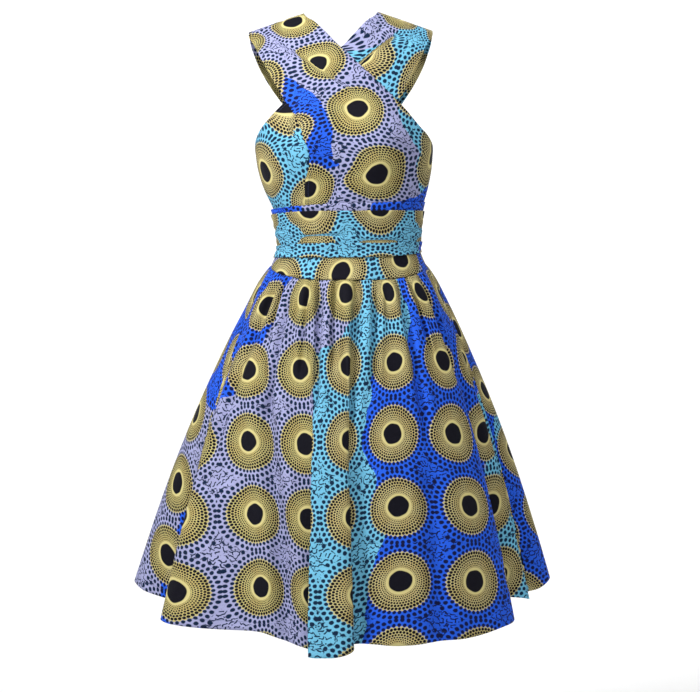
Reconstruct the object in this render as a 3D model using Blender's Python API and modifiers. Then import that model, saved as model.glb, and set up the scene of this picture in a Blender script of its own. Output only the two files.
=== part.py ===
"""Sleeveless dress in African wax print, held in the round shape that it takes when it is worn.

Two wide straps cross over the bust and again on the back. A narrow fold, a midriff wrap and a lower
wrap go round the waist, and a full gathered skirt hangs from the waistband. The dress is hollow, open at
the neck, both armholes and the hem. It faces -Y, +Z is up and +X is the wearer's left. The origin is
midway between the shoulders, where a wearer holds it up. Lengths are in millimetres up to make_piece().
"""
import math

import bpy
import numpy as np

MM = 0.001

# Cloth
WALL = 1.2  # thickness of each cloth wall
LAYER = 2.4  # from one layer of the bodice to the next, wall and air gap together
SEAM_GAP = 0.3  # left open where two pieces meet edge to edge

# General figure, as half widths and depths of oval sections, all measured from the leaning centre line
BUST_HEIGHT = -215.0
SQUARENESS = 2.2  # exponent of the oval sections: 2 is an ellipse
SETTLING = 6  # rounds in which a section's width and the shoulder line above it are fitted to each other
FIGURE = (
    # height, lean, half_width, front_depth, back_depth
    (-460, 7.5, 132.0, 103.0, 100.0),
    (-432, 8.0, 126.5, 97.0, 94.0),
    (-413, 8.0, 124.0, 91.0, 89.0),
    (-397, 8.0, 117.5, 87.0, 84.0),
    (-382, 8.0, 112.5, 85.5, 82.5),
    (-365, 8.0, 115.0, 87.5, 84.0),
    (-340, 7.0, 118.0, 92.0, 86.5),
    (-311, 5.0, 124.5, 97.0, 90.0),
    (-280, 2.0, 136.0, 102.0, 93.5),
    (-246, 0.0, 144.5, 105.5, 96.5),
    (BUST_HEIGHT, -1.0, 148.0, 107.0, 98.0),
)
SHOULDER_LEAN = -4.0
SHOULDER_HALF_WIDTH = 176.0
SHOULDER_FALL = 0.36  # drop of the shoulder line for each millimetre outwards
NECK_SIDE, NECK_SIDE_HEIGHT = 62.0, 12.5
UNDER_SHOULDER_LIFT = 5.0  # the wearer's left shoulder is a little higher
NECK_SOFTNESS = 30.0
CHEST_SLOPE, BACK_SLOPE = 1.5, 2.0  # exponents of the arch from bust level to the shoulder line
CUP_ACROSS, CUP_HEIGHT, CUP_WIDTH, CUP_RISE, CUP_FULLNESS = 72.0, -205.0, 48.0, 50.0, 21.0

# Straps. Each runs from one side seam over the opposite shoulder and back to the same side seam. These
# rows are the strap from the wearer's right shoulder; the other one is its mirror image.
SIDE = 999.0  # stands for the side seam in the across columns
STRAP_COLUMNS, STRAP_FRONT_ROWS, STRAP_BACK_ROWS = 15, 28, 20
STRAP_FRONT = (
    # arm_across, arm_height, neck_across, neck_height, under_rise
    (-67, -331, SIDE, -331, 0),
    (-67, -311, SIDE, -311, 0),
    (-66, -292, SIDE, -288, 0),
    (-64, -272, SIDE, -262, 0),
    (-59, -254, SIDE, -237, 0),
    (-55, -236, SIDE, -215, 2),
    (-56, -219, 141, -195, 6),
    (-63, -203, 122, -175, 9),
    (-68, -184, 97, -146, 4),
    (-76, -166, 76, -124, 0),
    (-84, -151, 51, -99, 0),
    (-95, -134, 25, -74, 0),
    (-111, -106, 1, -50, 0),
    (-129, -72, -22, -26, 0),
    (-145, -41, -43, -4, 0),
    (-152, -31, -54, 3, 0),
    (-154, -25, -60, 9, 0),
)
STRAP_BACK = (
    # arm_across, arm_height, neck_across, neck_height, under_rise
    (-154, -25, -60, 9, 0),
    (-153, -32, -54, 2, 0),
    (-150, -44, -45, -9, 0),
    (-139, -73, -24, -33, 0),
    (-123, -102, 2, -63, 0),
    (-105, -128, 28, -93, 0),
    (-86, -152, 56, -121, 0),
    (-66, -177, 86, -149, 0),
    (-48, -200, 114, -176, 0),
    (-33, -222, 137, -199, 0),
    (-20, -244, SIDE, -215, 0),
    (-9, -266, SIDE, -245, 0),
    (1, -290, SIDE, -276, 0),
    (7, -311, SIDE, -306, 0),
    (10, -331, SIDE, -331, 0),
)
SHOULDER_ARM, SHOULDER_NECK = -155.0, -62.0

# Wraps and waistband: where the edges run round the waist, by the turn from the front to +X in degrees
BAND_COLUMNS = 60
EDGES = (
    # turn, fold_top, midriff_top, lower_wrap_top, lower_wrap_bottom, waist_seam
    (-180, -306, -316, -370, -396, -411),
    (-120, -309, -319, -373, -398, -409),
    (-90, -313, -321, -374, -399, -412),
    (-75, -312, -320, -373, -398, -417),
    (-55, -310, -318, -371, -397, -424),
    (-30, -307, -316, -369, -396, -431),
    (0, -304, -316, -368.5, -395, -432.5),
    (30, -302, -315, -368, -394, -431),
    (55, -301, -315, -367, -392, -424),
    (75, -300, -315, -366, -390, -415),
    (90, -300, -316, -366, -389, -409),
    (120, -302, -316, -367, -391, -408),
    (180, -306, -316, -370, -396, -411),
)
FOLD_BOTTOM, MIDRIFF_BOTTOM, WAISTBAND_TOP = -327.0, -379.0, -386.0
FOLD_LAYER, MIDRIFF_LAYER, LOWER_WRAP_LAYER, WAISTBAND_LAYER = 2, 3, 4, 3
FOLD_ROWS, MIDRIFF_ROWS, LOWER_WRAP_ROWS, WAISTBAND_ROWS = 1, 3, 2, 2

# Skirt. The hem runs from the wearer's right side seam across the front to the left one, and then from
# left to right round the back.
SIDE_SEAM_TURN = 84.0  # of the skirt's side seams, at the waist
HEM_RIGHT_TURN, HEM_LEFT_TURN = -74.0, 80.0  # of the same seams, at the hem
FLARE, BELL = 0.86, 0.045  # the outline from waist to hem: exponent of its spread, and its swell half way
FOLD_FADE = 1.15  # exponent of the hem's folds as they die away upwards
SLOPE_RISE = 0.75  # share of its wall by which the sloping skirt's outer edge rises at the waist
FRONT_COLUMNS, BACK_COLUMNS = 94, 72
HEM_FINENESS = 40  # points worked out between two entries of a hem table, to measure its length
TURN_CROWDING = 0.38  # share of a panel's columns that gather where its hem turns
SKIRT_ROWS = (0, 0.025, 0.06, 0.11, 0.17, 0.24, 0.33, 0.44, 0.57, 0.71, 0.85, 1.0)
HEM_SMOOTH_HALF, HEM_SMOOTH_FRONT, HEM_SMOOTH_BACK, HEM_LEAN = 355.0, 249.0, 265.0, -3.0
HEM_FRONT = (
    # across, forward, height
    (-290, 65, -969),
    (-272, 70, -972),
    (-265, 80, -975),
    (-274, 92, -979),
    (-292, 103, -985),
    (-302, 118, -990),
    (-291, 136, -993),
    (-266, 154, -994),
    (-231, 174, -993),
    (-187, 199, -990),
    (-136, 222, -988),
    (-103, 234, -996),
    (-75, 241, -1005),
    (-53, 245, -1011),
    (-38, 247, -1014),
    (-30, 254, -1015),
    (-36, 262, -1016),
    (-48, 265, -1017),
    (-54, 271, -1017),
    (-47, 279, -1017),
    (-31, 284, -1016),
    (-12, 285, -1015),
    (4, 281, -1012),
    (14, 273, -1008),
    (15, 264, -1005),
    (6, 258, -1005),
    (-8, 255, -1005),
    (-15, 249, -1005),
    (-9, 242, -1005),
    (6, 240, -1005),
    (26, 241, -1003),
    (51, 246, -1003),
    (79, 248, -1005),
    (114, 241, -1005),
    (154, 222, -1003),
    (193, 202, -1004),
    (225, 183, -1001),
    (256, 158, -996),
    (276, 134, -993),
    (281, 115, -989),
    (272, 101, -980),
    (261, 92, -973),
    (262, 82, -966),
    (278, 79, -962),
    (298, 75, -964),
    (311, 64, -968),
    (306, 51, -968),
    (293, 44, -968),
    (290, 34, -968),
    (299, 27, -965),
    (315, 24, -963),
)
HEM_BACK = (
    # across, forward, height
    (315, 24, -963),
    (332, 20, -959),
    (346, 8, -952),
    (354, -10, -946),
    (351, -36, -950),
    (327, -66, -961),
    (316, -98, -968),
    (320, -128, -966),
    (296, -158, -962),
    (249, -172, -972),
    (217, -194, -976),
    (193, -226, -969),
    (152, -240, -966),
    (105, -232, -977),
    (59, -240, -979),
    (20, -268, -972),
    (-24, -271, -972),
    (-63, -246, -980),
    (-105, -238, -980),
    (-142, -250, -970),
    (-185, -232, -966),
    (-213, -198, -975),
    (-245, -176, -976),
    (-286, -166, -966),
    (-312, -136, -962),
    (-312, -100, -970),
    (-327, -66, -966),
    (-351, -38, -954),
    (-359, -8, -949),
    (-355, 16, -951),
    (-338, 43, -958),
    (-307, 61, -965),
    (-290, 65, -969),
)
GATHER_START, GATHER_BLOOM = 0.35, 0.05  # share of a gather's height at the seam, and where it is full
GATHER_SLOPE = 1.5  # exponent of the gathers' sides and of the way they die away downwards
FRONT_GATHERS = (
    # valley (-1 right seam to 1 left seam), height, reach down the skirt
    (-1.00, 4.0, 0.30),
    (-0.80, 6.0, 0.40),
    (-0.67, 4.5, 0.28),
    (-0.55, 6.0, 0.36),
    (-0.39, 6.5, 0.42),
    (-0.21, 5.5, 0.30),
    (-0.06, 4.0, 0.26),
    (0.05, 4.0, 0.34),
    (0.15, 4.5, 0.28),
    (0.26, 6.5, 0.42),
    (0.43, 4.0, 0.26),
    (0.53, 6.5, 0.38),
    (0.71, 5.5, 0.34),
    (0.86, 3.0, 0.30),
    (1.00, 0.0, 0.30),
)
BACK_GATHERS = (
    # valley (-1 left seam to 1 right seam), height, reach down the skirt
    (-1.00, 3.5, 0.34),
    (-0.86, 5.0, 0.30),
    (-0.70, 5.0, 0.40),
    (-0.57, 6.5, 0.30),
    (-0.40, 4.5, 0.36),
    (-0.28, 5.5, 0.28),
    (-0.13, 4.5, 0.34),
    (0.00, 5.0, 0.38),
    (0.14, 4.5, 0.28),
    (0.27, 6.0, 0.36),
    (0.43, 5.0, 0.30),
    (0.57, 6.0, 0.40),
    (0.73, 4.5, 0.30),
    (0.87, 5.0, 0.34),
    (1.00, 0.0, 0.30),
)

LILAC = (0.36, 0.33, 0.50)
TURQUOISE = (0.16, 0.42, 0.52)
ROYAL_BLUE = (0.07, 0.12, 0.48)
ROUGHNESS = 0.75


def smooth(at, knots, values):
    """A smooth curve through values at the rising knots, read at the places in at."""
    knots = np.asarray(knots, float)
    values = np.asarray(values, float)
    at = np.clip(np.asarray(at, float), knots[0], knots[-1])
    slopes = np.gradient(values, knots, axis=0)
    step = np.clip(np.searchsorted(knots, at, side="right") - 1, 0, len(knots) - 2)
    length = knots[step + 1] - knots[step]
    share = (at - knots[step]) / length
    extra = (slice(None),) * at.ndim + (None,) * (values.ndim - 1)
    share, length = share[extra], length[extra]
    start, end = values[step], values[step + 1]
    leave, arrive = slopes[step] * length, slopes[step + 1] * length
    return (
        start * (1 + 2 * share) * (1 - share) ** 2
        + leave * share * (1 - share) ** 2
        + end * share**2 * (3 - 2 * share)
        + arrive * share**2 * (share - 1)
    )


def column(table, index):
    return np.array([row[index] for row in table], float)


def shoulder_line(across):
    """Height of the line from neck to shoulder tip, by the distance from the centre line."""
    soft = np.sqrt(across**2 + NECK_SOFTNESS**2)
    return NECK_SIDE_HEIGHT - SHOULDER_FALL * (soft - math.hypot(NECK_SIDE, NECK_SOFTNESS))


def climb(across, height):
    """How far a height is up from bust level to the shoulder line: 0 at the bust, 1 on the shoulder."""
    return np.clip((height - BUST_HEIGHT) / (shoulder_line(across) - BUST_HEIGHT), 0, 1)


def half_width(height, climbed):
    widest = smooth(height, column(FIGURE, 0), column(FIGURE, 2))
    return widest + (SHOULDER_HALF_WIDTH - widest) * climbed**2


def turn_at(across, height):
    """Turn from the front, in degrees up to 90, of a point this far across at this height."""
    share = np.clip(np.abs(across) / half_width(height, climb(across, height)), 0, 1)
    return np.degrees(np.arcsin(share ** (SQUARENESS / 2))) * np.sign(across)


def oval(turn):
    """Shares of the half width and of the depth at a turn: across, and towards the front."""
    sine, cosine = np.sin(np.radians(turn)), np.cos(np.radians(turn))
    power = 2 / SQUARENESS
    return np.sign(sine) * np.abs(sine) ** power, np.sign(cosine) * np.abs(cosine) ** power


def figure(turn, height):
    """Points on the general figure, at a turn from the front to +X in degrees and a height."""
    turn, height = np.broadcast_arrays(np.asarray(turn, float), np.asarray(height, float))
    sideways, forward = oval(turn)
    across = half_width(height, 0 * height) * sideways
    for _ in range(SETTLING):
        climbed = climb(across, height)
        across = half_width(height, climbed) * sideways
    facing = forward > 0
    depth = np.where(
        facing,
        smooth(height, column(FIGURE, 0), column(FIGURE, 3)),
        smooth(height, column(FIGURE, 0), column(FIGURE, 4)),
    )
    slope = np.where(facing, CHEST_SLOPE, BACK_SLOPE)
    arch = (1 - climbed**slope) ** (1 / slope)
    cups = sum(
        np.exp(-(((across - side * CUP_ACROSS) / CUP_WIDTH) ** 2) - ((height - CUP_HEIGHT) / CUP_RISE) ** 2)
        for side in (-1, 1)
    )
    lean = smooth(height, column(FIGURE, 0), column(FIGURE, 1)) + SHOULDER_LEAN * climbed
    depth_here = depth * arch * forward + CUP_FULLNESS * cups * np.clip(forward, 0, 1) * arch
    return np.stack([across + lean, -depth_here, height], axis=-1)


def outward(grid, closed=False):
    """Unit normals of a grid of rows by columns, on the side where rows rise and columns go to +X."""
    if closed:
        padded = np.concatenate([grid[:, -1:], grid, grid[:, :1]], axis=1)
        along = np.gradient(padded, axis=1)[:, 1:-1]
    else:
        along = np.gradient(grid, axis=1)
    normal = np.cross(along, np.gradient(grid, axis=0))
    return normal / np.linalg.norm(normal, axis=-1, keepdims=True)


def strap_rows(table, facing, lift, count):
    """Rows of points across the strap, from smooth lines through its table's edges."""
    arm_height, neck_height = column(table, 1), column(table, 3) + lift * column(table, 4)
    seam_turn = 90 - math.degrees((SEAM_GAP / 2 / FIGURE[-1][3]) ** (SQUARENESS / 2))
    arm_turn, neck_turn = turn_at(column(table, 0), arm_height), turn_at(column(table, 2), neck_height)
    ends = np.stack([arm_turn, arm_height, neck_turn, neck_height], axis=-1)
    ends = smooth(np.linspace(0, len(table) - 1, count), np.arange(len(table)), ends)
    ends[:, 2] = np.minimum(ends[:, 2], seam_turn)
    share = np.linspace(0, 1, STRAP_COLUMNS + 1)
    turns = ends[:, 0:1] * (1 - share) + ends[:, 2:3] * share
    heights = ends[:, 1:2] * (1 - share) + ends[:, 3:4] * share
    return figure(turns if facing > 0 else 180 - turns, heights)


def strap(mirrored, layer):
    """The two stretches of a strap, front and back, as grids on their layer of the figure."""
    lift = 1.0 if mirrored else 0.0
    across = np.linspace(SHOULDER_ARM, SHOULDER_NECK, STRAP_COLUMNS + 1)
    ridge = np.stack([across + SHOULDER_LEAN, 0 * across, shoulder_line(across)], axis=-1)
    front = strap_rows(STRAP_FRONT, 1, lift, STRAP_FRONT_ROWS)
    back = strap_rows(STRAP_BACK, -1, lift, STRAP_BACK_ROWS)
    whole = np.concatenate([front, [ridge], back])
    whole = whole + outward(whole) * layer * LAYER
    if mirrored:
        leans = smooth(whole[..., 2], column(FIGURE, 0), column(FIGURE, 1))
        climbed = climb(whole[..., 0], whole[..., 2])
        leans = leans + SHOULDER_LEAN * climbed
        whole[..., 0] = 2 * leans - whole[..., 0]
        whole[..., 2] += UNDER_SHOULDER_LIFT * climbed**2
        whole = whole[:, ::-1]
    stretches = [whole[: len(front) + 1].copy(), whole[len(front) :].copy()]
    stretches[0][..., 1] = np.minimum(stretches[0][..., 1], -SEAM_GAP / 2)
    stretches[1][..., 1] = np.maximum(stretches[1][..., 1], SEAM_GAP / 2)
    return stretches


def edge(name, turn):
    """Height of a named edge of the wraps and the waistband, at a turn in degrees."""
    names = ("fold_top", "midriff_top", "lower_wrap_top", "lower_wrap_bottom", "waist_seam")
    return smooth((turn + 180) % 360 - 180, column(EDGES, 0), column(EDGES, 1 + names.index(name)))


def band(turns, top, bottom, rows, layer, closed=True):
    """A band round the figure between two edges, each a height for every turn, as rows from the bottom up."""
    grid = np.array([figure(turns, bottom + (top - bottom) * share) for share in np.linspace(0, 1, rows + 1)])
    return grid + outward(grid, closed) * layer * LAYER


def hem_places(table, count):
    """Points along a stretch of the hem, closer where it turns, with their shares of its length."""
    entries = np.arange(len(table))
    dense = smooth(np.linspace(0, len(table) - 1, HEM_FINENESS * len(table)), entries, np.array(table, float))
    steps = np.diff(dense[:, :2], axis=0)
    length = np.concatenate([[0], np.cumsum(np.linalg.norm(steps, axis=1))])
    heading = np.unwrap(np.arctan2(steps[:, 1], steps[:, 0]))
    turning = np.concatenate([[0], np.cumsum(np.abs(np.diff(heading)))])
    crowd = length[1:] / length[-1] + TURN_CROWDING * turning / turning[-1]
    crowd = np.concatenate([[0], crowd / crowd[-1]])
    wanted = np.linspace(0, 1, count + 1)
    share = np.interp(wanted, crowd, length / length[-1])
    points = np.stack([np.interp(wanted, crowd, dense[:, axis]) for axis in range(3)], axis=-1)
    return points * (1, -1, 1), share


def gathers(table, place, down):
    """How far the gathers stand out at a place from -1 to 1 along a panel, and a share down the skirt."""
    valleys = column(table, 0)
    step = np.clip(np.searchsorted(valleys, place, side="right") - 1, 0, len(table) - 2)
    share = (place - valleys[step]) / (valleys[step + 1] - valleys[step])
    height, reach = column(table, 1)[step], column(table, 2)[step]
    bloom = min(1.0, GATHER_START + (1 - GATHER_START) * down / GATHER_BLOOM)
    return height * bloom * (np.sin(np.pi * share) * np.clip(1 - down / reach, 0, 1)) ** GATHER_SLOPE


def skirt_panel(hem_table, gather_table, count, waist_turns, hem_turns):
    """A skirt panel as a grid from hem to waist, between two turns at the waist and two at the hem."""
    hem, share = hem_places(hem_table, count)
    turns = waist_turns[0] + (waist_turns[1] - waist_turns[0]) * share
    seam = edge("waist_seam", turns)
    waist = band(turns, WAISTBAND_TOP, seam, WAISTBAND_ROWS, WAISTBAND_LAYER, closed=False)[0]
    waist[:, 2] -= SEAM_GAP + SLOPE_RISE * WALL
    hem_turn = hem_turns[0] + (hem_turns[1] - hem_turns[0]) * share
    sideways, forward = oval(hem_turn)
    depth = np.where(forward > 0, HEM_SMOOTH_FRONT, HEM_SMOOTH_BACK)
    even = np.stack([HEM_LEAN + HEM_SMOOTH_HALF * sideways, -depth * forward, hem[:, 2]], axis=-1)
    rows = []
    for down in SKIRT_ROWS[::-1]:
        spread, folded = down**FLARE + BELL * math.sin(math.pi * down), down**FOLD_FADE
        row = waist + (even - waist) * spread + (hem - even) * folded
        row[:, 2] = waist[:, 2] + (hem[:, 2] - waist[:, 2]) * down
        out = gathers(gather_table, 2 * share - 1, down)
        row[:, 0] += sideways * out
        row[:, 1] -= forward * out
        for end, inner in ((0, 1), (-1, -2)):
            inwards = row[inner] - row[end]
            row[end] += inwards / np.linalg.norm(inwards) * SEAM_GAP / 2
        rows.append(row)
    return np.array(rows)


def make_material(name, colour):
    material = bpy.data.materials.new(name)
    material.use_nodes = True
    shader = material.node_tree.nodes["Principled BSDF"]
    shader.inputs["Base Color"].default_value = (*colour, 1)
    shader.inputs["Roughness"].default_value = ROUGHNESS
    shader.inputs["Metallic"].default_value = 0
    return material


def make_piece(name, grid, material, collection, closed=False):
    """A piece of cloth: the grid's surface, thickened outwards into a wall."""
    rows, columns = grid.shape[:2]
    points = np.arange(rows * columns).reshape(rows, columns)
    if closed:
        points = np.concatenate([points, points[:, :1]], axis=1)
    corners = points[:-1, :-1], points[:-1, 1:], points[1:, 1:], points[1:, :-1]
    faces = np.stack(corners, axis=-1).reshape(-1, 4).tolist()
    mesh = bpy.data.meshes.new(name)
    mesh.from_pydata((grid * MM).reshape(-1, 3).tolist(), [], faces)
    mesh.materials.append(material)
    mesh.shade_smooth()
    piece = bpy.data.objects.new(name, mesh)
    collection.objects.link(piece)
    wall = piece.modifiers.new("cloth wall", "SOLIDIFY")
    wall.thickness = WALL * MM
    wall.offset = 1
    return piece


def main():
    for old in list(bpy.data.objects):
        bpy.data.objects.remove(old)
    collection = bpy.data.collections.new("ankara wax print dress")
    bpy.context.scene.collection.children.link(collection)
    lilac = make_material("lilac wax print cotton", LILAC)
    turquoise = make_material("turquoise wax print cotton", TURQUOISE)
    blue = make_material("royal blue wax print cotton", ROYAL_BLUE)

    over_front, over_back = strap(mirrored=False, layer=1)
    under_front, under_back = strap(mirrored=True, layer=0)
    make_piece("strap_over_front", over_front, lilac, collection)
    make_piece("strap_over_back", over_back, lilac, collection)
    make_piece("strap_under_front", under_front, turquoise, collection)
    make_piece("strap_under_back", under_back, turquoise, collection)

    turns = np.linspace(-180, 180, BAND_COLUMNS + 1)[:-1]
    fold = band(turns, edge("fold_top", turns), FOLD_BOTTOM, FOLD_ROWS, FOLD_LAYER)
    midriff = band(turns, edge("midriff_top", turns), MIDRIFF_BOTTOM, MIDRIFF_ROWS, MIDRIFF_LAYER)
    lower_edges = edge("lower_wrap_top", turns), edge("lower_wrap_bottom", turns)
    lower_wrap = band(turns, *lower_edges, LOWER_WRAP_ROWS, LOWER_WRAP_LAYER)
    waistband = band(turns, WAISTBAND_TOP, edge("waist_seam", turns), WAISTBAND_ROWS, WAISTBAND_LAYER)
    make_piece("underbust_fold", fold, blue, collection, closed=True)
    make_piece("midriff_wrap", midriff, turquoise, collection, closed=True)
    make_piece("lower_wrap", lower_wrap, turquoise, collection, closed=True)
    make_piece("waistband", waistband, turquoise, collection, closed=True)

    front_turns, back_turns = (-SIDE_SEAM_TURN, SIDE_SEAM_TURN), (SIDE_SEAM_TURN, 360 - SIDE_SEAM_TURN)
    front_hem_turns, back_hem_turns = (HEM_RIGHT_TURN, HEM_LEFT_TURN), (HEM_LEFT_TURN, 360 + HEM_RIGHT_TURN)
    front = skirt_panel(HEM_FRONT, FRONT_GATHERS, FRONT_COLUMNS, front_turns, front_hem_turns)
    back = skirt_panel(HEM_BACK, BACK_GATHERS, BACK_COLUMNS, back_turns, back_hem_turns)
    make_piece("skirt_front", front, blue, collection)
    make_piece("skirt_back", back, lilac, collection)


main()
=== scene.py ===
"""Looks of a sleeveless dress in African wax print, held in the round shape that it takes when it is worn.

Two straps cross over the bust and on the back, a thin fold and two wraps go round the waist, and a full
gathered skirt hangs from the waistband. Each piece is a thin sheet of cloth on the form of its solid, with
its own creases and with cloth coordinates that say where the printed medallions fall. The dress faces -Y,
+Z is up and +X is the wearer's left. Lengths are in millimetres up to cloth_piece() and seam_stitches().
"""
import math

import bpy
import numpy as np
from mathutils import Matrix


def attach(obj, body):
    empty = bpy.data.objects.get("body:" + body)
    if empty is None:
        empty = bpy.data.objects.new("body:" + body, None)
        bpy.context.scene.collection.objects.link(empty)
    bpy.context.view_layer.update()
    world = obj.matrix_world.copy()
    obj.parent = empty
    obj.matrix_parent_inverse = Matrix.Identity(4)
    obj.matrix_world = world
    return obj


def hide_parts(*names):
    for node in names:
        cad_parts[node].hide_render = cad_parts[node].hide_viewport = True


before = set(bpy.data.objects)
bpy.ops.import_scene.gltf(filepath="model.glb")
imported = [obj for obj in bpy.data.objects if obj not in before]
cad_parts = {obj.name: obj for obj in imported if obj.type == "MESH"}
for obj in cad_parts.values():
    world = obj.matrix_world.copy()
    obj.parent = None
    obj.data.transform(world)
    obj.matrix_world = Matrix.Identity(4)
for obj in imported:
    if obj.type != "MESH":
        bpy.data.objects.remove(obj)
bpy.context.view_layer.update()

MM = 0.001

# Cloth
WALL, CLOTH = 1.2, 0.7  # thickness of a solid's wall, and of the sheet in it
LAYER = 2.4  # from one layer of the bodice to the next
MID_WALL = 0.6  # from the inner face of a solid's wall to its middle, where the sheet lies
SEAM_GAP = 0.3  # left open where two pieces meet edge to edge
REPEAT = 118.0  # from one printed medallion to the next, both ways
CLOTH_MAP, GROUND_MAP = "cloth", "grounds"  # names of the two coordinate maps of each piece

# General figure, as half widths and depths of oval sections, all measured from the leaning centre line
BUST_HEIGHT = -215.0
SQUARENESS = 2.2  # exponent of the oval sections: 2 is an ellipse
SETTLING = 6  # rounds in which a section's width and the shoulder line above it are fitted to each other
FIGURE = (
    # height, lean, half_width, front_depth, back_depth
    (-460, 7.5, 132.0, 103.0, 100.0),
    (-432, 8.0, 126.5, 97.0, 94.0),
    (-413, 8.0, 124.0, 91.0, 89.0),
    (-397, 8.0, 117.5, 87.0, 84.0),
    (-382, 8.0, 112.5, 85.5, 82.5),
    (-365, 8.0, 115.0, 87.5, 84.0),
    (-340, 7.0, 118.0, 92.0, 86.5),
    (-311, 5.0, 124.5, 97.0, 90.0),
    (-280, 2.0, 136.0, 102.0, 93.5),
    (-246, 0.0, 144.5, 105.5, 96.5),
    (BUST_HEIGHT, -1.0, 148.0, 107.0, 98.0),
)
LEAN, HALF_WIDTH, FRONT_DEPTH, BACK_DEPTH = range(1, 5)  # columns of FIGURE
SHOULDER_LEAN = -4.0
SHOULDER_HALF_WIDTH = 176.0
SHOULDER_FALL = 0.36  # drop of the shoulder line for each millimetre outwards
NECK_SIDE, NECK_SIDE_HEIGHT = 62.0, 12.5
UNDER_SHOULDER_LIFT = 5.0  # the wearer's left shoulder is a little higher
NECK_SOFTNESS = 30.0
CHEST_SLOPE, BACK_SLOPE = 1.5, 2.0  # exponents of the arch from bust level to the shoulder line
CUP_ACROSS, CUP_HEIGHT, CUP_WIDTH, CUP_RISE, CUP_FULLNESS = 72.0, -205.0, 48.0, 50.0, 21.0

# Straps. Each runs from one side seam over the opposite shoulder and back to the same side seam. These
# rows are the strap from the wearer's right shoulder; the other one is its mirror image.
SIDE = 999.0  # stands for the side seam in the across columns
STRAP_COLUMNS, STRAP_FRONT_ROWS, STRAP_BACK_ROWS = 56, 128, 104
STRAP_FRONT = (
    # arm_across, arm_height, neck_across, neck_height, under_rise
    (-67, -331, SIDE, -331, 0),
    (-67, -311, SIDE, -311, 0),
    (-66, -292, SIDE, -288, 0),
    (-64, -272, SIDE, -262, 0),
    (-59, -254, SIDE, -237, 0),
    (-55, -236, SIDE, -215, 2),
    (-56, -219, 141, -195, 6),
    (-63, -203, 122, -175, 9),
    (-68, -184, 97, -146, 4),
    (-76, -166, 76, -124, 0),
    (-84, -151, 51, -99, 0),
    (-95, -134, 25, -74, 0),
    (-111, -106, 1, -50, 0),
    (-129, -72, -22, -26, 0),
    (-145, -41, -43, -4, 0),
    (-152, -31, -54, 3, 0),
    (-154, -25, -60, 9, 0),
)
STRAP_BACK = (
    # arm_across, arm_height, neck_across, neck_height, under_rise
    (-154, -25, -60, 9, 0),
    (-153, -32, -54, 2, 0),
    (-150, -44, -45, -9, 0),
    (-139, -73, -24, -33, 0),
    (-123, -102, 2, -63, 0),
    (-105, -128, 28, -93, 0),
    (-86, -152, 56, -121, 0),
    (-66, -177, 86, -149, 0),
    (-48, -200, 114, -176, 0),
    (-33, -222, 137, -199, 0),
    (-20, -244, SIDE, -215, 0),
    (-9, -266, SIDE, -245, 0),
    (1, -290, SIDE, -276, 0),
    (7, -311, SIDE, -306, 0),
    (10, -331, SIDE, -331, 0),
)
SHOULDER_ARM, SHOULDER_NECK = -155.0, -62.0

# Wraps and waistband
BAND_COLUMNS = 300
EDGES = (
    # turn, fold_top, midriff_top, lower_wrap_top, lower_wrap_bottom, waist_seam
    (-180, -306, -316, -370, -396, -411),
    (-120, -309, -319, -373, -398, -409),
    (-90, -313, -321, -374, -399, -412),
    (-75, -312, -320, -373, -398, -417),
    (-55, -310, -318, -371, -397, -424),
    (-30, -307, -316, -369, -396, -431),
    (0, -304, -316, -368.5, -395, -432.5),
    (30, -302, -315, -368, -394, -431),
    (55, -301, -315, -367, -392, -424),
    (75, -300, -315, -366, -390, -415),
    (90, -300, -316, -366, -389, -409),
    (120, -302, -316, -367, -391, -408),
    (180, -306, -316, -370, -396, -411),
)
FOLD_BOTTOM, MIDRIFF_BOTTOM, WAISTBAND_TOP = -327.0, -379.0, -386.0
FOLD_LAYER, MIDRIFF_LAYER, LOWER_WRAP_LAYER, WAISTBAND_LAYER = 2, 3, 4, 3
FOLD_ROWS, MIDRIFF_ROWS, LOWER_WRAP_ROWS, WAISTBAND_ROWS = 8, 24, 12, 16

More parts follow.
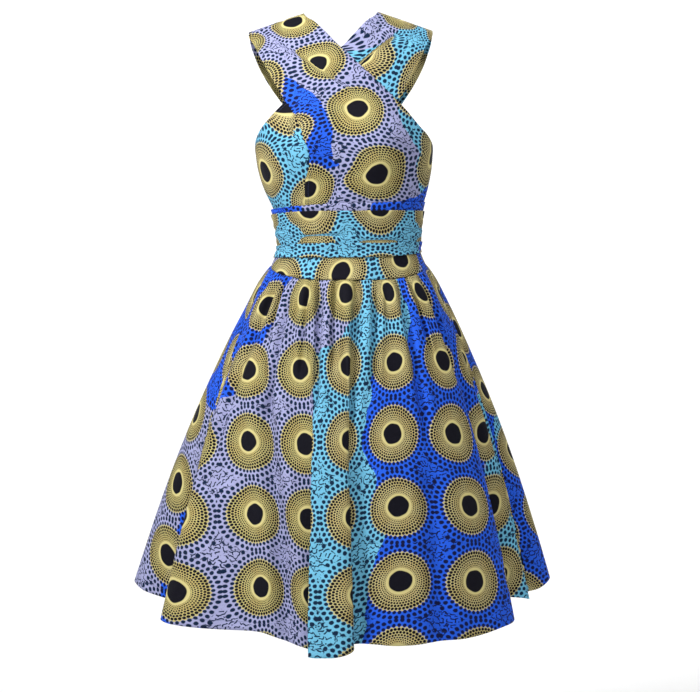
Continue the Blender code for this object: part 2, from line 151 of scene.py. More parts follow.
# Skirt. The hem runs from the wearer's right side seam across the front to the left one, and then from
# left to right round the back.
SIDE_SEAM_TURN = 84.0  # of the skirt's side seams, at the waist
HEM_RIGHT_TURN, HEM_LEFT_TURN = -74.0, 80.0  # of the same seams, at the hem
FLARE, BELL = 0.86, 0.045  # the outline from waist to hem: exponent of its spread, and its swell half way
FOLD_FADE = 1.15  # exponent of the hem's folds as they die away upwards
SLOPE_RISE = 0.75  # share of its wall by which the sloping skirt's outer edge rises at the waist
FRONT_COLUMNS, BACK_COLUMNS, SKIRT_ROWS = 400, 360, 110
HEM_FINENESS = 40  # points worked out between two entries of a hem table, to measure its length
TURN_CROWDING = 0.38  # share of a panel's columns that gather where its hem turns
HEM_SMOOTH_HALF, HEM_SMOOTH_FRONT, HEM_SMOOTH_BACK, HEM_LEAN = 355.0, 249.0, 265.0, -3.0
HEM_FRONT = (
    # across, forward, height
    (-290, 65, -969),
    (-272, 70, -972),
    (-265, 80, -975),
    (-274, 92, -979),
    (-292, 103, -985),
    (-302, 118, -990),
    (-291, 136, -993),
    (-266, 154, -994),
    (-231, 174, -993),
    (-187, 199, -990),
    (-136, 222, -988),
    (-103, 234, -996),
    (-75, 241, -1005),
    (-53, 245, -1011),
    (-38, 247, -1014),
    (-30, 254, -1015),
    (-36, 262, -1016),
    (-48, 265, -1017),
    (-54, 271, -1017),
    (-47, 279, -1017),
    (-31, 284, -1016),
    (-12, 285, -1015),
    (4, 281, -1012),
    (14, 273, -1008),
    (15, 264, -1005),
    (6, 258, -1005),
    (-8, 255, -1005),
    (-15, 249, -1005),
    (-9, 242, -1005),
    (6, 240, -1005),
    (26, 241, -1003),
    (51, 246, -1003),
    (79, 248, -1005),
    (114, 241, -1005),
    (154, 222, -1003),
    (193, 202, -1004),
    (225, 183, -1001),
    (256, 158, -996),
    (276, 134, -993),
    (281, 115, -989),
    (272, 101, -980),
    (261, 92, -973),
    (262, 82, -966),
    (278, 79, -962),
    (298, 75, -964),
    (311, 64, -968),
    (306, 51, -968),
    (293, 44, -968),
    (290, 34, -968),
    (299, 27, -965),
    (315, 24, -963),
)
HEM_BACK = (
    # across, forward, height
    (315, 24, -963),
    (332, 20, -959),
    (346, 8, -952),
    (354, -10, -946),
    (351, -36, -950),
    (327, -66, -961),
    (316, -98, -968),
    (320, -128, -966),
    (296, -158, -962),
    (249, -172, -972),
    (217, -194, -976),
    (193, -226, -969),
    (152, -240, -966),
    (105, -232, -977),
    (59, -240, -979),
    (20, -268, -972),
    (-24, -271, -972),
    (-63, -246, -980),
    (-105, -238, -980),
    (-142, -250, -970),
    (-185, -232, -966),
    (-213, -198, -975),
    (-245, -176, -976),
    (-286, -166, -966),
    (-312, -136, -962),
    (-312, -100, -970),
    (-327, -66, -966),
    (-351, -38, -954),
    (-359, -8, -949),
    (-355, 16, -951),
    (-338, 43, -958),
    (-307, 61, -965),
    (-290, 65, -969),
)
GATHER_START, GATHER_BLOOM = 0.35, 0.05  # share of a gather's height at the seam, and where it is full
GATHER_SLOPE = 1.5  # exponent of the gathers' sides and of the way they die away downwards
FRONT_GATHERS = (
    # valley (-1 right seam to 1 left seam), height, reach down the skirt
    (-1.00, 4.0, 0.30),
    (-0.80, 6.0, 0.40),
    (-0.67, 4.5, 0.28),
    (-0.55, 6.0, 0.36),
    (-0.39, 6.5, 0.42),
    (-0.21, 5.5, 0.30),
    (-0.06, 4.0, 0.26),
    (0.05, 4.0, 0.34),
    (0.15, 4.5, 0.28),
    (0.26, 6.5, 0.42),
    (0.43, 4.0, 0.26),
    (0.53, 6.5, 0.38),
    (0.71, 5.5, 0.34),
    (0.86, 3.0, 0.30),
    (1.00, 0.0, 0.30),
)
BACK_GATHERS = (
    # valley (-1 left seam to 1 right seam), height, reach down the skirt
    (-1.00, 3.5, 0.34),
    (-0.86, 5.0, 0.30),
    (-0.70, 5.0, 0.40),
    (-0.57, 6.5, 0.30),
    (-0.40, 4.5, 0.36),
    (-0.28, 5.5, 0.28),
    (-0.13, 4.5, 0.34),
    (0.00, 5.0, 0.38),
    (0.14, 4.5, 0.28),
    (0.27, 6.0, 0.36),
    (0.43, 5.0, 0.30),
    (0.57, 6.0, 0.40),
    (0.73, 4.5, 0.30),
    (0.87, 5.0, 0.34),
    (1.00, 0.0, 0.30),
)

# Where the print falls. On the skirt front each row of the table says where the columns of medallions run,
# as shares of the panel from the right seam to the left one.
FRONT_MEDALLION_COLUMNS = (-3, -2, -1, 0, 1, 2, 3)
FRONT_PRINT = (
    # down, then the share at each column of medallions
    (0.00, -0.06, 0.161, 0.330, 0.486, 0.649, 0.797, 0.970),
    (0.25, -0.08, 0.159, 0.341, 0.487, 0.632, 0.803, 0.975),
    (0.45, 0.035, 0.210, 0.356, 0.487, 0.613, 0.772, 0.925),
    (0.65, 0.052, 0.247, 0.359, 0.490, 0.620, 0.777, 0.901),
    (0.87, 0.104, 0.269, 0.360, 0.492, 0.619, 0.757, 0.885),
    (1.00, 0.112, 0.275, 0.360, 0.492, 0.613, 0.754, 0.883),
)
FRONT_FIRST_ROW = (
    # column of medallions, how far its first one is below the waist seam, and the next below the first
    (-3, 85.0, 118.0),
    (-2, 57.0, 113.6),
    (-1, 31.5, 121.5),
    (0, 23.0, 123.0),
    (1, 22.0, 117.8),
    (2, 30.0, 120.5),
    (3, 54.0, 118.0),
)
BACK_END_COLUMNS = (-4, 5)
BACK_PRINT = (
    # down, then the share at the first and at the last of those columns
    (0.00, 0.000, 0.900),
    (0.25, 0.014, 0.912),
    (0.48, 0.036, 0.939),
    (0.67, 0.053, 0.961),
    (0.88, 0.073, 0.980),
    (1.00, 0.085, 0.990),
)
BACK_FIRST_ROW = (1.0, 47.0)  # the same distance below the waist seam, at those columns
OVER_PRINT = (
    # along (0 front waist, 1 shoulder, 2 back waist), then the row of medallions at four places from arm
    # edge to neck edge, and the column at the same four
    (0.00, -0.46, -0.68, -0.77, -0.94, -1.22, -0.38, 0.24, 0.86),
    (0.22, 0.20, 0.03, -0.05, -0.31, -0.96, -0.13, 0.58, 1.00),
    (0.40, 0.68, 0.54, 0.48, 0.35, -0.73, -0.13, 0.45, 0.92),
    (0.53, 1.10, 1.04, 1.01, 1.01, -0.75, -0.38, 0.13, 0.63),
    (0.63, 1.53, 1.48, 1.46, 1.36, -0.76, -0.42, 0.00, 0.47),
    (0.73, 1.88, 1.96, 2.02, 1.93, -0.68, -0.46, -0.10, 0.42),
    (0.83, 2.54, 2.56, 2.62, 2.60, -0.86, -0.53, -0.12, 0.27),
    (0.94, 3.15, 3.08, 3.03, 2.97, -0.73, -0.51, -0.18, 0.20),
    (1.00, 3.28, 3.24, 3.23, 3.25, -0.67, -0.48, -0.20, 0.16),
    (1.20, 3.76, 3.89, 3.98, 4.02, -0.80, -0.47, -0.13, 0.20),
    (1.50, 4.96, 5.09, 5.18, 5.22, -1.10, -0.65, -0.19, 0.26),
    (1.75, 6.06, 6.11, 6.17, 6.22, -1.30, -0.76, -0.19, 0.42),
    (2.00, 7.16, 7.14, 7.16, 7.22, -1.06, -0.54, -0.07, 0.36),
)
UNDER_PRINT = (
    # the same, from neck edge to arm edge
    (0.00, -0.90, -0.47, 0.00, 0.57, 0.17, 0.77, 1.37, 1.95),
    (0.21, -0.15, 0.07, 0.38, 0.85, -0.35, 0.22, 0.87, 1.45),
    (0.36, 0.30, 0.52, 0.70, 1.14, -0.39, 0.13, 0.64, 1.19),
    (0.49, 0.99, 1.01, 1.17, 1.40, 0.06, 0.32, 0.66, 1.02),
    (0.62, 1.30, 1.46, 1.54, 1.55, -0.30, 0.12, 0.48, 0.81),
    (0.74, 2.24, 2.02, 1.93, 1.87, -0.60, -0.11, 0.39, 0.80),
    (0.85, 2.52, 2.47, 2.44, 2.42, -0.62, -0.10, 0.38, 0.82),
    (0.96, 2.76, 2.78, 2.80, 2.82, -0.47, -0.03, 0.41, 0.82),
    (1.00, 2.91, 2.93, 2.95, 2.97, -0.40, 0.02, 0.42, 0.80),
    (1.20, 3.96, 3.92, 3.87, 3.80, -0.20, 0.13, 0.47, 0.80),
    (1.50, 5.16, 5.14, 5.09, 5.02, -0.26, 0.19, 0.65, 1.10),
    (1.75, 6.18, 6.14, 6.11, 6.10, -0.42, 0.19, 0.76, 1.30),
    (2.00, 7.18, 7.11, 7.10, 7.16, -0.36, 0.07, 0.54, 1.06),
)

# Creases. A crease is a soft trough that runs from one place to another, and the cloth that
# it takes up is hidden, so the print steps across it. Places are shares along and across the piece.
CREASE_OVERRUN, CREASE_FADE = 0.12, 0.3  # past its two ends, and how long it takes to fade there, as shares
CREASE_BOW = 0.25  # of how far it goes across
RIDGE_HEIGHT, RIDGE_AWAY = 0.35, 1.8  # of the cloth pushed up beside it, in depths and in widths of it
HIDING_STEEPNESS, HIDING_REACH = 2.5, 7.0  # how the print is drawn towards it, and from how many widths off
FRONT_CREASES = (
    # from_across, from_down, to_across, to_down, depth, width, hidden
    (0.225, 0.26, 0.315, 1.00, 15.0, 15, 0.05),
    (0.175, 0.02, 0.120, 0.52, 8.0, 9, 0.00),
    (0.222, 0.00, 0.214, 0.18, 6.0, 4, 0.00),
    (0.275, 0.02, 0.250, 0.40, 8.0, 6, 0.00),
    (0.345, 0.00, 0.340, 0.26, 7.0, 4, 0.00),
    (0.395, 0.02, 0.405, 0.36, 9.0, 6, 0.00),
    (0.455, 0.00, 0.450, 0.24, 7.0, 4, 0.00),
    (0.530, 0.00, 0.520, 0.42, 10.0, 7, 0.06),
    (0.600, 0.02, 0.575, 0.30, 8.0, 5, 0.00),
    (0.700, 0.03, 0.700, 0.44, 9.0, 8, 0.02),
    (0.760, 0.00, 0.765, 0.22, 7.0, 4, 0.00),
    (0.695, 0.52, 0.690, 1.00, 7.0, 18, 0.00),
    (0.840, 0.02, 0.850, 0.30, 8.0, 7, 0.00),
    (0.170, 0.55, 0.190, 1.00, -5.0, 24, 0.00),
    (0.555, 0.45, 0.560, 1.00, 7.0, 13, 0.00),
    (0.420, 0.60, 0.430, 1.00, 6.0, 18, 0.00),
)
BACK_CREASES = (
    # from_across, from_down, to_across, to_down, depth, width, hidden
    (0.120, 0.02, 0.150, 0.42, 4.0, 12, 0.00),
    (0.245, 0.01, 0.215, 0.30, 3.0, 9, 0.00),
    (0.300, 0.30, 0.330, 0.95, 4.0, 24, 0.03),
    (0.390, 0.02, 0.385, 0.38, 4.5, 11, 0.02),
    (0.480, 0.00, 0.470, 0.25, 3.0, 8, 0.00),
    (0.560, 0.02, 0.590, 0.55, 4.5, 13, 0.03),
    (0.640, 0.50, 0.655, 1.00, 3.0, 26, 0.00),
    (0.700, 0.00, 0.690, 0.27, 3.0, 9, 0.00),
    (0.790, 0.03, 0.760, 0.46, 4.0, 13, 0.02),
    (0.905, 0.02, 0.900, 0.33, 3.5, 10, 0.00),
)
OVER_CREASES = (
    # from_across, from_along, to_across, to_along, depth, width, hidden
    (0.400, 0.84, 0.700, 0.60, 1.8, 5, 0.22),
    (0.100, 0.02, 0.200, 0.24, 1.6, 7, 0.10),
    (0.550, 0.86, 0.620, 1.06, 1.0, 6, 0.05),
    (0.300, 0.97, 0.250, 0.70, 1.0, 8, 0.03),
    (0.820, 0.72, 0.900, 0.38, 0.9, 9, 0.00),
    (0.280, 0.02, 0.360, 0.16, 1.2, 7, 0.04),
    (0.520, 0.00, 0.500, 0.10, 1.0, 6, 0.02),
    (0.760, 0.00, 0.700, 0.15, 1.0, 8, 0.02),
    (0.900, 0.03, 0.830, 0.20, 1.0, 7, 0.02),
    (0.350, 1.08, 0.420, 1.45, 1.0, 8, 0.03),
    (0.700, 1.02, 0.640, 1.30, 1.0, 7, 0.03),
    (0.300, 1.98, 0.400, 1.70, 1.4, 8, 0.05),
    (0.620, 1.99, 0.640, 1.78, 1.2, 7, 0.03),
)
UNDER_CREASES = (
    # from_across, from_along, to_across, to_along, depth, width, hidden
    (0.441, 0.84, 0.285, 0.69, 1.6, 5, 0.50),
    (0.560, 0.36, 0.200, 0.49, 1.4, 6, 0.12),
    (0.700, 0.95, 0.640, 0.74, 1.0, 7, 0.04),
    (0.180, 0.98, 0.220, 0.80, 1.0, 7, 0.02),
    (0.080, 0.02, 0.140, 0.16, 1.2, 7, 0.03),
    (0.240, 0.00, 0.260, 0.12, 1.0, 7, 0.03),
    (0.400, 0.01, 0.380, 0.14, 1.0, 8, 0.02),
    (0.620, 1.06, 0.560, 1.40, 1.0, 8, 0.03),
    (0.280, 1.04, 0.360, 1.30, 1.0, 7, 0.03),
    (0.680, 1.98, 0.600, 1.72, 1.4, 8, 0.05),
)
MIDRIFF_CREASES = (
    # from_up, from_turn, to_up, to_turn (shares of the height and of the turn), depth, width, hidden
    (0.33, 0.395, 0.38, 0.490, 1.4, 3.0, 0.34),
    (0.22, 0.520, 0.24, 0.610, 1.2, 3.0, 0.30),
    (0.80, 0.250, 0.66, 0.350, 1.2, 3.5, 0.06),
    (0.55, 0.240, 0.50, 0.340, 1.3, 3.5, 0.08),
    (0.30, 0.245, 0.30, 0.365, 1.2, 3.5, 0.06),
    (0.82, 0.740, 0.70, 0.660, 1.2, 3.5, 0.06),
    (0.58, 0.750, 0.50, 0.640, 1.3, 3.5, 0.08),
    (0.34, 0.745, 0.27, 0.650, 1.2, 3.5, 0.06),
    (0.60, 0.020, 0.50, 0.160, 1.0, 4.0, 0.04),
    (0.28, 0.900, 0.36, 0.990, 1.0, 4.0, 0.04),
    (0.75, 0.060, 0.72, 0.180, 0.9, 4.0, 0.03),
)
LOWER_WRAP_CREASES = (
    # from_up, from_turn, to_up, to_turn, depth, width, hidden
    (0.60, 0.240, 0.45, 0.340, 0.9, 3.0, 0.05),
    (0.52, 0.750, 0.42, 0.660, 0.9, 3.0, 0.05),
    (0.50, 0.420, 0.46, 0.540, 0.4, 3.5, 0.00),
    (0.55, 0.030, 0.45, 0.150, 0.6, 3.0, 0.03),
)
FOLD_CREASES = ((0.50, 0.380, 0.45, 0.560, 0.3, 2.5, 0.00),)
WAISTBAND_CREASES = (
    # from_up, from_turn, to_up, to_turn, depth, width, hidden
    (0.62, 0.350, 0.50, 0.430, 0.5, 4.0, 0.00),
    (0.60, 0.560, 0.45, 0.650, 0.6, 4.0, 0.03),
    (0.50, 0.080, 0.55, 0.180, 0.5, 4.0, 0.00),
)

# Grounds: where the lilac cloth turns blue or turquoise. Places are in columns and rows of medallions on
# the skirt, in shares along and across a strap, and in degrees round a band.
FRONT_GROUNDS = (
    # row, blue ends, turquoise starts, turquoise ends, turquoise starts again, turquoise ends again
    (-0.4, -1.45, 0.34, 1.42, 5.0, 6.0),
    (0.0, -1.62, 0.22, 1.44, 5.0, 6.0),
    (0.5, -1.75, 0.00, 1.46, 4.6, 6.0),
    (0.7, -1.76, -0.25, 1.38, 4.4, 6.0),
    (0.8, -1.80, -0.66, 1.20, 4.2, 6.0),
    (1.0, -2.05, -0.72, 0.75, 4.0, 6.0),
    (1.2, -2.26, -0.72, 0.56, 3.8, 6.0),
    (1.4, -2.50, -0.72, 0.58, 3.5, 6.0),
    (1.6, -4.50, -0.72, 0.55, 3.2, 6.0),
    (2.2, -5.00, -0.72, 0.52, 3.0, 6.0),
    (2.6, -5.00, -0.72, 0.68, 2.9, 6.0),
    (3.15, -5.00, -0.72, 0.65, 2.75, 6.0),
    (3.38, -5.00, -0.72, 0.80, 2.7, 6.0),
    (3.6, -5.00, -0.72, 0.69, 2.7, 6.0),
    (4.1, -5.00, -0.72, 0.61, 2.7, 6.0),
    (4.6, -5.00, -0.72, 0.60, 2.7, 6.0),
    (5.2, -5.00, -0.72, 0.55, 2.7, 6.0),
)
HEM_BLUE_FROM, HEM_BLUE_TO = 4.44, -2.62
BACK_GROUNDS = (
    # row, blue ends, turquoise ends, blue starts, blue ends, last blue starts
    (-0.4, -2.4, -1.2, 1.3, 2.6, 4.3),
    (0.6, -2.6, -1.0, 1.2, 2.8, 4.3),
    (1.2, -2.8, -1.1, 1.0, 3.0, 4.4),
    (1.55, -2.9, -1.2, 1.1, 3.1, 4.6),
    (1.75, -3.2, -1.0, 1.3, 3.2, 5.3),
    (1.95, -3.5, -0.8, 1.5, 3.3, 6.8),
    (2.5, -4.2, -0.9, 1.6, 3.2, 7.0),
    (3.05, -4.2, -1.1, 1.4, 3.4, 6.8),
    (3.3, -3.7, -1.2, 1.2, 3.5, 5.28),
    (3.5, -3.4, -1.1, 1.2, 3.5, 5.20),
    (4.4, -3.1, -0.8, 1.5, 3.6, 4.98),
    (5.2, -3.0, -0.9, 1.6, 3.7, 4.85),
)
OVER_GROUNDS = (
    # along, blue up to this share across, turquoise from this share across
    (0.00, -0.30, 0.95),
    (0.16, -0.30, 0.74),
    (0.24, -0.10, 0.67),
    (0.26, 0.11, 0.66),
    (0.31, 0.12, 0.68),
    (0.40, 0.18, 0.76),
    (0.46, 0.27, 0.88),
    (0.53, 0.32, 1.02),
    (0.59, 0.33, 1.20),
    (0.70, 0.31, 1.30),
    (0.74, 0.18, 1.30),
    (0.78, -0.20, 1.30),
    (1.00, -0.30, 1.30),
    (1.30, -0.20, 1.05),
    (1.45, 0.15, 0.80),
    (1.60, 0.35, 0.74),
    (1.80, 0.28, 0.80),
    (2.00, 0.18, 0.90),
)
WAIST_CORNER, WAIST_CORNER_ALONG, WAIST_CORNER_RISE = 0.41, 0.058, 0.2  # of the blue at the front waist
STRAP_LENGTH_REPEATS, STRAP_WIDTH_REPEATS = 4, 2  # about how many repeats a share of 1 is there
UNDER_GROUNDS = (
    # along, blue up to this share across, turquoise from this share across
    (0.00, -0.30, 0.10),
    (0.08, -0.30, -0.20),
    (0.70, -0.30, -0.20),
    (0.74, -0.30, 0.08),
    (0.78, -0.30, 0.30),
    (0.82, -0.30, 0.41),
    (0.90, -0.30, 0.43),
    (1.00, -0.30, 0.40),
    (1.25, -0.20, 0.55),
    (1.45, 0.20, 0.50),
    (1.70, 0.38, 0.38),
    (2.00, 0.30, 0.30),
)
DEGREES_PER_REPEAT = 60.0
WAISTBAND_SLOPE, WAISTBAND_DROOP = 0.225, 0.04  # of its rows of medallions, from column to column
UNDER_BLUE = 0.2  # how far turquoise runs on under the edge of the blue, in repeats
FOLD_BLUE, FOLD_TURQUOISE = ((-181, -33.6), (19, 90), (150, 181)), ((95, 145),)
MIDRIFF_BLUE, MIDRIFF_TURQUOISE = ((-150, -112),), ((-95, 118), (160, 181), (-181, -165))
LOWER_BLUE, LOWER_TURQUOISE = ((73, 110),), ((-110, 72), (140, 181), (-181, -150))
BAND_BLUE, BAND_TURQUOISE = ((66, 120), (-181, -150), (172, 181)), ((-62, 64), (-140, -95))

# Print, in repeats
DRIFT, DRIFT_SCALE = 0.05, 1.4  # how far the hand-drawn print strays, and how quickly
DISC_REACH, HALO_REACH, GOLD_REACH, BEADS_REACH = 0.143, 0.174, 0.385, 0.588
EDGE = 0.006  # how soft the edges of the colours are
BEADS, FINE_BEADS, RING_STEP, FINE_RING_STEP = 42, 52, 0.148, 0.118  # fine ones on the gold
BEAD_SMALL, BEAD_LARGE, BEAD_OUTSIDE, BEAD_EDGE = 0.33, 0.44, 0.35, 0.06  # in distances between beads
BEAD_ROUND, BEAD_LONG = 0.85, 0.80  # on the gold and off it: a bead is longer as the number falls
SCALLOP = 0.010
LAST_RING, CORNER_FROM = 0.515, 0.520
STROKES_PER_REPEAT, STROKE_LENGTH, STROKE_WIDTH = 16.5, 0.70, 0.190  # half of each, in widths of a cell
STROKE_TIP, STROKE_CORE = 0.85, 0.6  # the share of its length and of its width that is solid
STROKE_TILT, STROKE_WAVES, STROKE_CURL, STROKE_LEAST_CURL = 2.0, 4.6, 0.26, 0.2
SPECK_SCALE, SPECK_SIZE, SPECK_CORE = 20.0, 0.24, 0.7
STROKE_DISORDER, SPECK_DISORDER = 0.8, 0.9  # of the nets that place them, from 0 to 1

# Unevenness of the print and of the cloth, and pale patches that are painted sheen. A wobble is how quickly
# it changes and how far it goes. Patches are how quickly they come, and the levels of noise where one begins
# and where it is whole. A change of colour is its strength, and what the colour is multiplied by.
BEAD_WOBBLE, DISC_WOBBLE, CORNER_WOBBLE, GROUND_WOBBLE = (31.0, 0.09), (9.0, 0.02), (7.0, 0.06), (2.6, 0.16)
BARE_PATCHES = (5.0, 0.50, 0.54)  # where a medallion has no last ring of beads
STROKE_PATCHES = (13.0, 0.24, 0.28)  # where the corners have strokes, with specks between them
# pale patches: painted sheen that lightens the ground
PAINTED_SHEEN_PATCHES, AMBER_PATCHES = (3.2, 0.35, 0.75), (4.0, 0.35, 0.70)
MOTTLE_SCALE, MOTTLE_GRAIN = 70.0, 0.6
GROUND_MOTTLE, GOLD_MOTTLE = (0.50, 0.78), (0.45, 0.75)  # levels of the mottle that darken each
# the painted sheen that lightens the ground in its pale patches, then the mottle that darkens ground and
# gold
PAINTED_SHEEN, GROUND_DARKER, GOLD_DARKER = (0.30, 1.35), (0.45, 0.45), (0.35, 0.62)
AMBER_SHARE = 0.35
THREADS_PER_REPEAT, WEAVE_DEPTH = 150, 0.03
UNEVEN_SCALE, UNEVEN_GRAIN, UNEVEN_DEPTH = 4.5, 0.55, 1.2
COTTON_ROUGHNESS, MOTTLE_ROUGHNESS, DISC_ROUGHNESS = 0.62, 0.16, -0.06

INK = (0.0050, 0.0048, 0.0090, 1)
SHOWING_THROUGH = (0.0, 0.03, 0.06)  # of the ground, through the ink of the beads and strokes
LILAC = (0.312, 0.322, 0.525, 1)
TURQUOISE = (0.145, 0.44, 0.63, 1)
BLUE = (0.018, 0.101, 0.68, 1)
GOLD_OLIVE = (0.49, 0.43, 0.17, 1)
GOLD_SAND = (0.51, 0.44, 0.20, 1)
GOLD_AMBER = (0.44, 0.31, 0.09, 1)
HALO = (0.58, 0.51, 0.22, 1)
THREAD_DARK, THREAD_LIGHT = (0.010, 0.015, 0.06, 1), (0.02, 0.035, 0.14, 1)
PAPER, PAPER_TOOTH = (0.93, 0.93, 0.93, 1), (0.8, 0.8, 0.8, 1)

# Sewing
STITCH_STEP, STITCH_LENGTH, STITCH_WIDTH, STITCH_HEIGHT = 3.6, 2.6, 0.5, 0.28
STITCH_TOP = 0.6  # of its width, on top
TWIST_SCALE, THREAD_ROUGHNESS, TWIST_ROUGHNESS = 900.0, 0.55, 0.15
STRAP_HEM, SKIRT_HEM = 6.0, 14.0  # of the line of stitches from the edge
SKIRT_CROWDING = 1.15  # rows of the skirt come closer towards the waist

# Studio, in metres
FLOOR, ROOM, COVE, WALL_TOP = -1.40, 6.5, 2.0, 2.2  # ROOM is the radius of the round studio
ROOM_STEPS, COVE_STEPS = 64, 16
WORLD_LIGHT = 0.40
LIGHTS = (
    # name, place, aim, size, power
    ("key", (-1.25, -1.15, 0.65), (0, 0, -0.2), (0.4, 0.4), 38),
    ("fill", (1.1, -1.5, 0.75), (0, 0, -0.15), (0.6, 0.6), 5),
    ("top", (0.0, -0.9, 1.0), (0, 0, -0.2), (0.8, 0.5), 12),
    ("rear", (0.9, 2.4, 1.6), (0, 0, -0.4), (1.0, 1.0), 34),
    ("backdrop", (0.0, 3.2, 2.6), (0, 6.5, -0.6), (4.0, 1.0), 130),
)
CAMERA_PLACE, CAMERA_DIP = (0.0102, -3.0, -0.357), math.atan(111 / 1764.7)
CAMERA_LENS, CAMERA_SENSOR = 90.76, 36.0


def smooth(at, knots, values):
    """A smooth curve through values at the rising knots, read at the places in at."""
    knots = np.asarray(knots, float)
    values = np.asarray(values, float)
    at = np.clip(np.asarray(at, float), knots[0], knots[-1])
    slopes = np.gradient(values, knots, axis=0)
    step = np.clip(np.searchsorted(knots, at, side="right") - 1, 0, len(knots) - 2)
    length = knots[step + 1] - knots[step]
    share = (at - knots[step]) / length
    extra = (slice(None),) * at.ndim + (None,) * (values.ndim - 1)
    share, length = share[extra], length[extra]
    start, end = values[step], values[step + 1]
    leave, arrive = slopes[step] * length, slopes[step + 1] * length
    return (
        start * (1 + 2 * share) * (1 - share) ** 2
        + leave * share * (1 - share) ** 2
        + end * share**2 * (3 - 2 * share)
        + arrive * share**2 * (share - 1)
    )


def column(table, index):
    """One column of a table, as numbers."""
    return np.array([row[index] for row in table], float)


def curve(table, index, at):
    """A smooth curve through a column of a table, over its first column, read at the places in at."""
    return smooth(at, column(table, 0), column(table, index))


def between(ends, share):
    """A number, a share of the way from the first end to the last."""
    return ends[0] + (ends[1] - ends[0]) * share


def length_along(points):
    """Length of a line of points up to each of them, or of every column of a grid."""
    steps = np.linalg.norm(np.diff(points, axis=0), axis=-1)
    return np.concatenate([0 * steps[:1], np.cumsum(steps, axis=0)])


def read_line(at, places, points):
    """Points of a line, which come with their places along it, read at other places."""
    return np.stack([np.interp(at, places, points[:, axis]) for axis in range(3)], axis=-1)


def shoulder_line(across):
    """Height of the line from neck to shoulder tip, by the distance from the centre line."""
    soft = np.sqrt(across**2 + NECK_SOFTNESS**2)
    return NECK_SIDE_HEIGHT - SHOULDER_FALL * (soft - math.hypot(NECK_SIDE, NECK_SOFTNESS))


def climb(across, height):
    """How far a height is up from bust level to the shoulder line: 0 at the bust, 1 on the shoulder."""
    return np.clip((height - BUST_HEIGHT) / (shoulder_line(across) - BUST_HEIGHT), 0, 1)


def half_width(height, climbed):
    """Half the width of the figure at a height, which grows towards the shoulders."""
    widest = curve(FIGURE, HALF_WIDTH, height)
    return widest + (SHOULDER_HALF_WIDTH - widest) * climbed**2


def turn_at(across, height):
    """Turn from the front, in degrees up to 90, of a point this far across at this height."""
    share = np.clip(np.abs(across) / half_width(height, climb(across, height)), 0, 1)
    return np.degrees(np.arcsin(share ** (SQUARENESS / 2))) * np.sign(across)


def oval(turn):
    """Shares of the half width and of the depth at a turn: across, and towards the front."""
    sine, cosine = np.sin(np.radians(turn)), np.cos(np.radians(turn))
    power = 2 / SQUARENESS
    return np.sign(sine) * np.abs(sine) ** power, np.sign(cosine) * np.abs(cosine) ** power


def figure(turn, height):
    """Points on the general figure, at a turn from the front to +X in degrees and a height."""
    turn, height = np.broadcast_arrays(np.asarray(turn, float), np.asarray(height, float))
    sideways, forward = oval(turn)
    across = half_width(height, 0 * height) * sideways
    for _ in range(SETTLING):
        climbed = climb(across, height)
        across = half_width(height, climbed) * sideways
    facing = forward > 0
    depth = np.where(facing, curve(FIGURE, FRONT_DEPTH, height), curve(FIGURE, BACK_DEPTH, height))
    slope = np.where(facing, CHEST_SLOPE, BACK_SLOPE)
    arch = (1 - climbed**slope) ** (1 / slope)
    cups = sum(
        np.exp(-(((across - side * CUP_ACROSS) / CUP_WIDTH) ** 2) - ((height - CUP_HEIGHT) / CUP_RISE) ** 2)
        for side in (-1, 1)
    )
    lean = curve(FIGURE, LEAN, height) + SHOULDER_LEAN * climbed
    depth_here = depth * arch * forward + CUP_FULLNESS * cups * np.clip(forward, 0, 1) * arch
    return np.stack([across + lean, -depth_here, height], axis=-1)


def outward(grid, closed=False):
    """Unit normals of a grid of rows by columns, on the side where rows rise and columns go to +X."""
    if closed:
        padded = np.concatenate([grid[:, -1:], grid, grid[:, :1]], axis=1)
        along = np.gradient(padded, axis=1)[:, 1:-1]
    else:
        along = np.gradient(grid, axis=1)
    normal = np.cross(along, np.gradient(grid, axis=0))
    return normal / np.linalg.norm(normal, axis=-1, keepdims=True)


def lengths_across(grid):
    """Length of each row of a grid, as a column."""
    return np.linalg.norm(np.diff(grid, axis=1), axis=2).sum(axis=1)[:, None]


def creases(table, along, across, width_across):
    """Depth of a piece's creases at each point, and how much of the print they hide up to there."""
    depth, hidden = 0.0, 0.0
    for from_across, from_along, to_across, to_along, deep, wide, taken in table:
        reach = to_along - from_along
        share = (along - from_along) / reach
        to_end = np.minimum(share + CREASE_OVERRUN, 1 + CREASE_OVERRUN - share)
        ends = np.clip(to_end / CREASE_FADE, 0, 1)
        window = ends**2 * (3 - 2 * ends)
        bow = CREASE_BOW * (to_across - from_across) * np.sin(np.pi * np.clip(share, 0, 1))
        middle = from_across + (to_across - from_across) * share + bow
        away = (across - middle) * width_across / wide
        ridges = RIDGE_HEIGHT * np.exp(-((np.abs(away) - RIDGE_AWAY) ** 2))
        depth = depth + deep * window * (np.exp(-(away**2)) - ridges)
        drawn = np.tanh(HIDING_STEEPNESS * away) * np.exp(-((away / HIDING_REACH) ** 2))
        hidden = hidden + taken / 2 * window * drawn
    return depth, hidden


def sunk(grid, depth, closed=False):
    """A grid with its creases pressed in, lifted to the middle of its solid's wall."""
    return grid + outward(grid, closed) * (MID_WALL - depth)[..., None]


def through(across, values):
    """A smooth curve over a piece, through values at even places from its first edge to its last."""
    places = np.linspace(0, 1, len(values))
    total = 0.0
    for place, value in zip(places, values):
        others = places[places != place]
        total = total + value * np.prod([(across - other) / (place - other) for other in others], axis=0)
    return total


# ---------------------------------------------------------------------------------------- straps


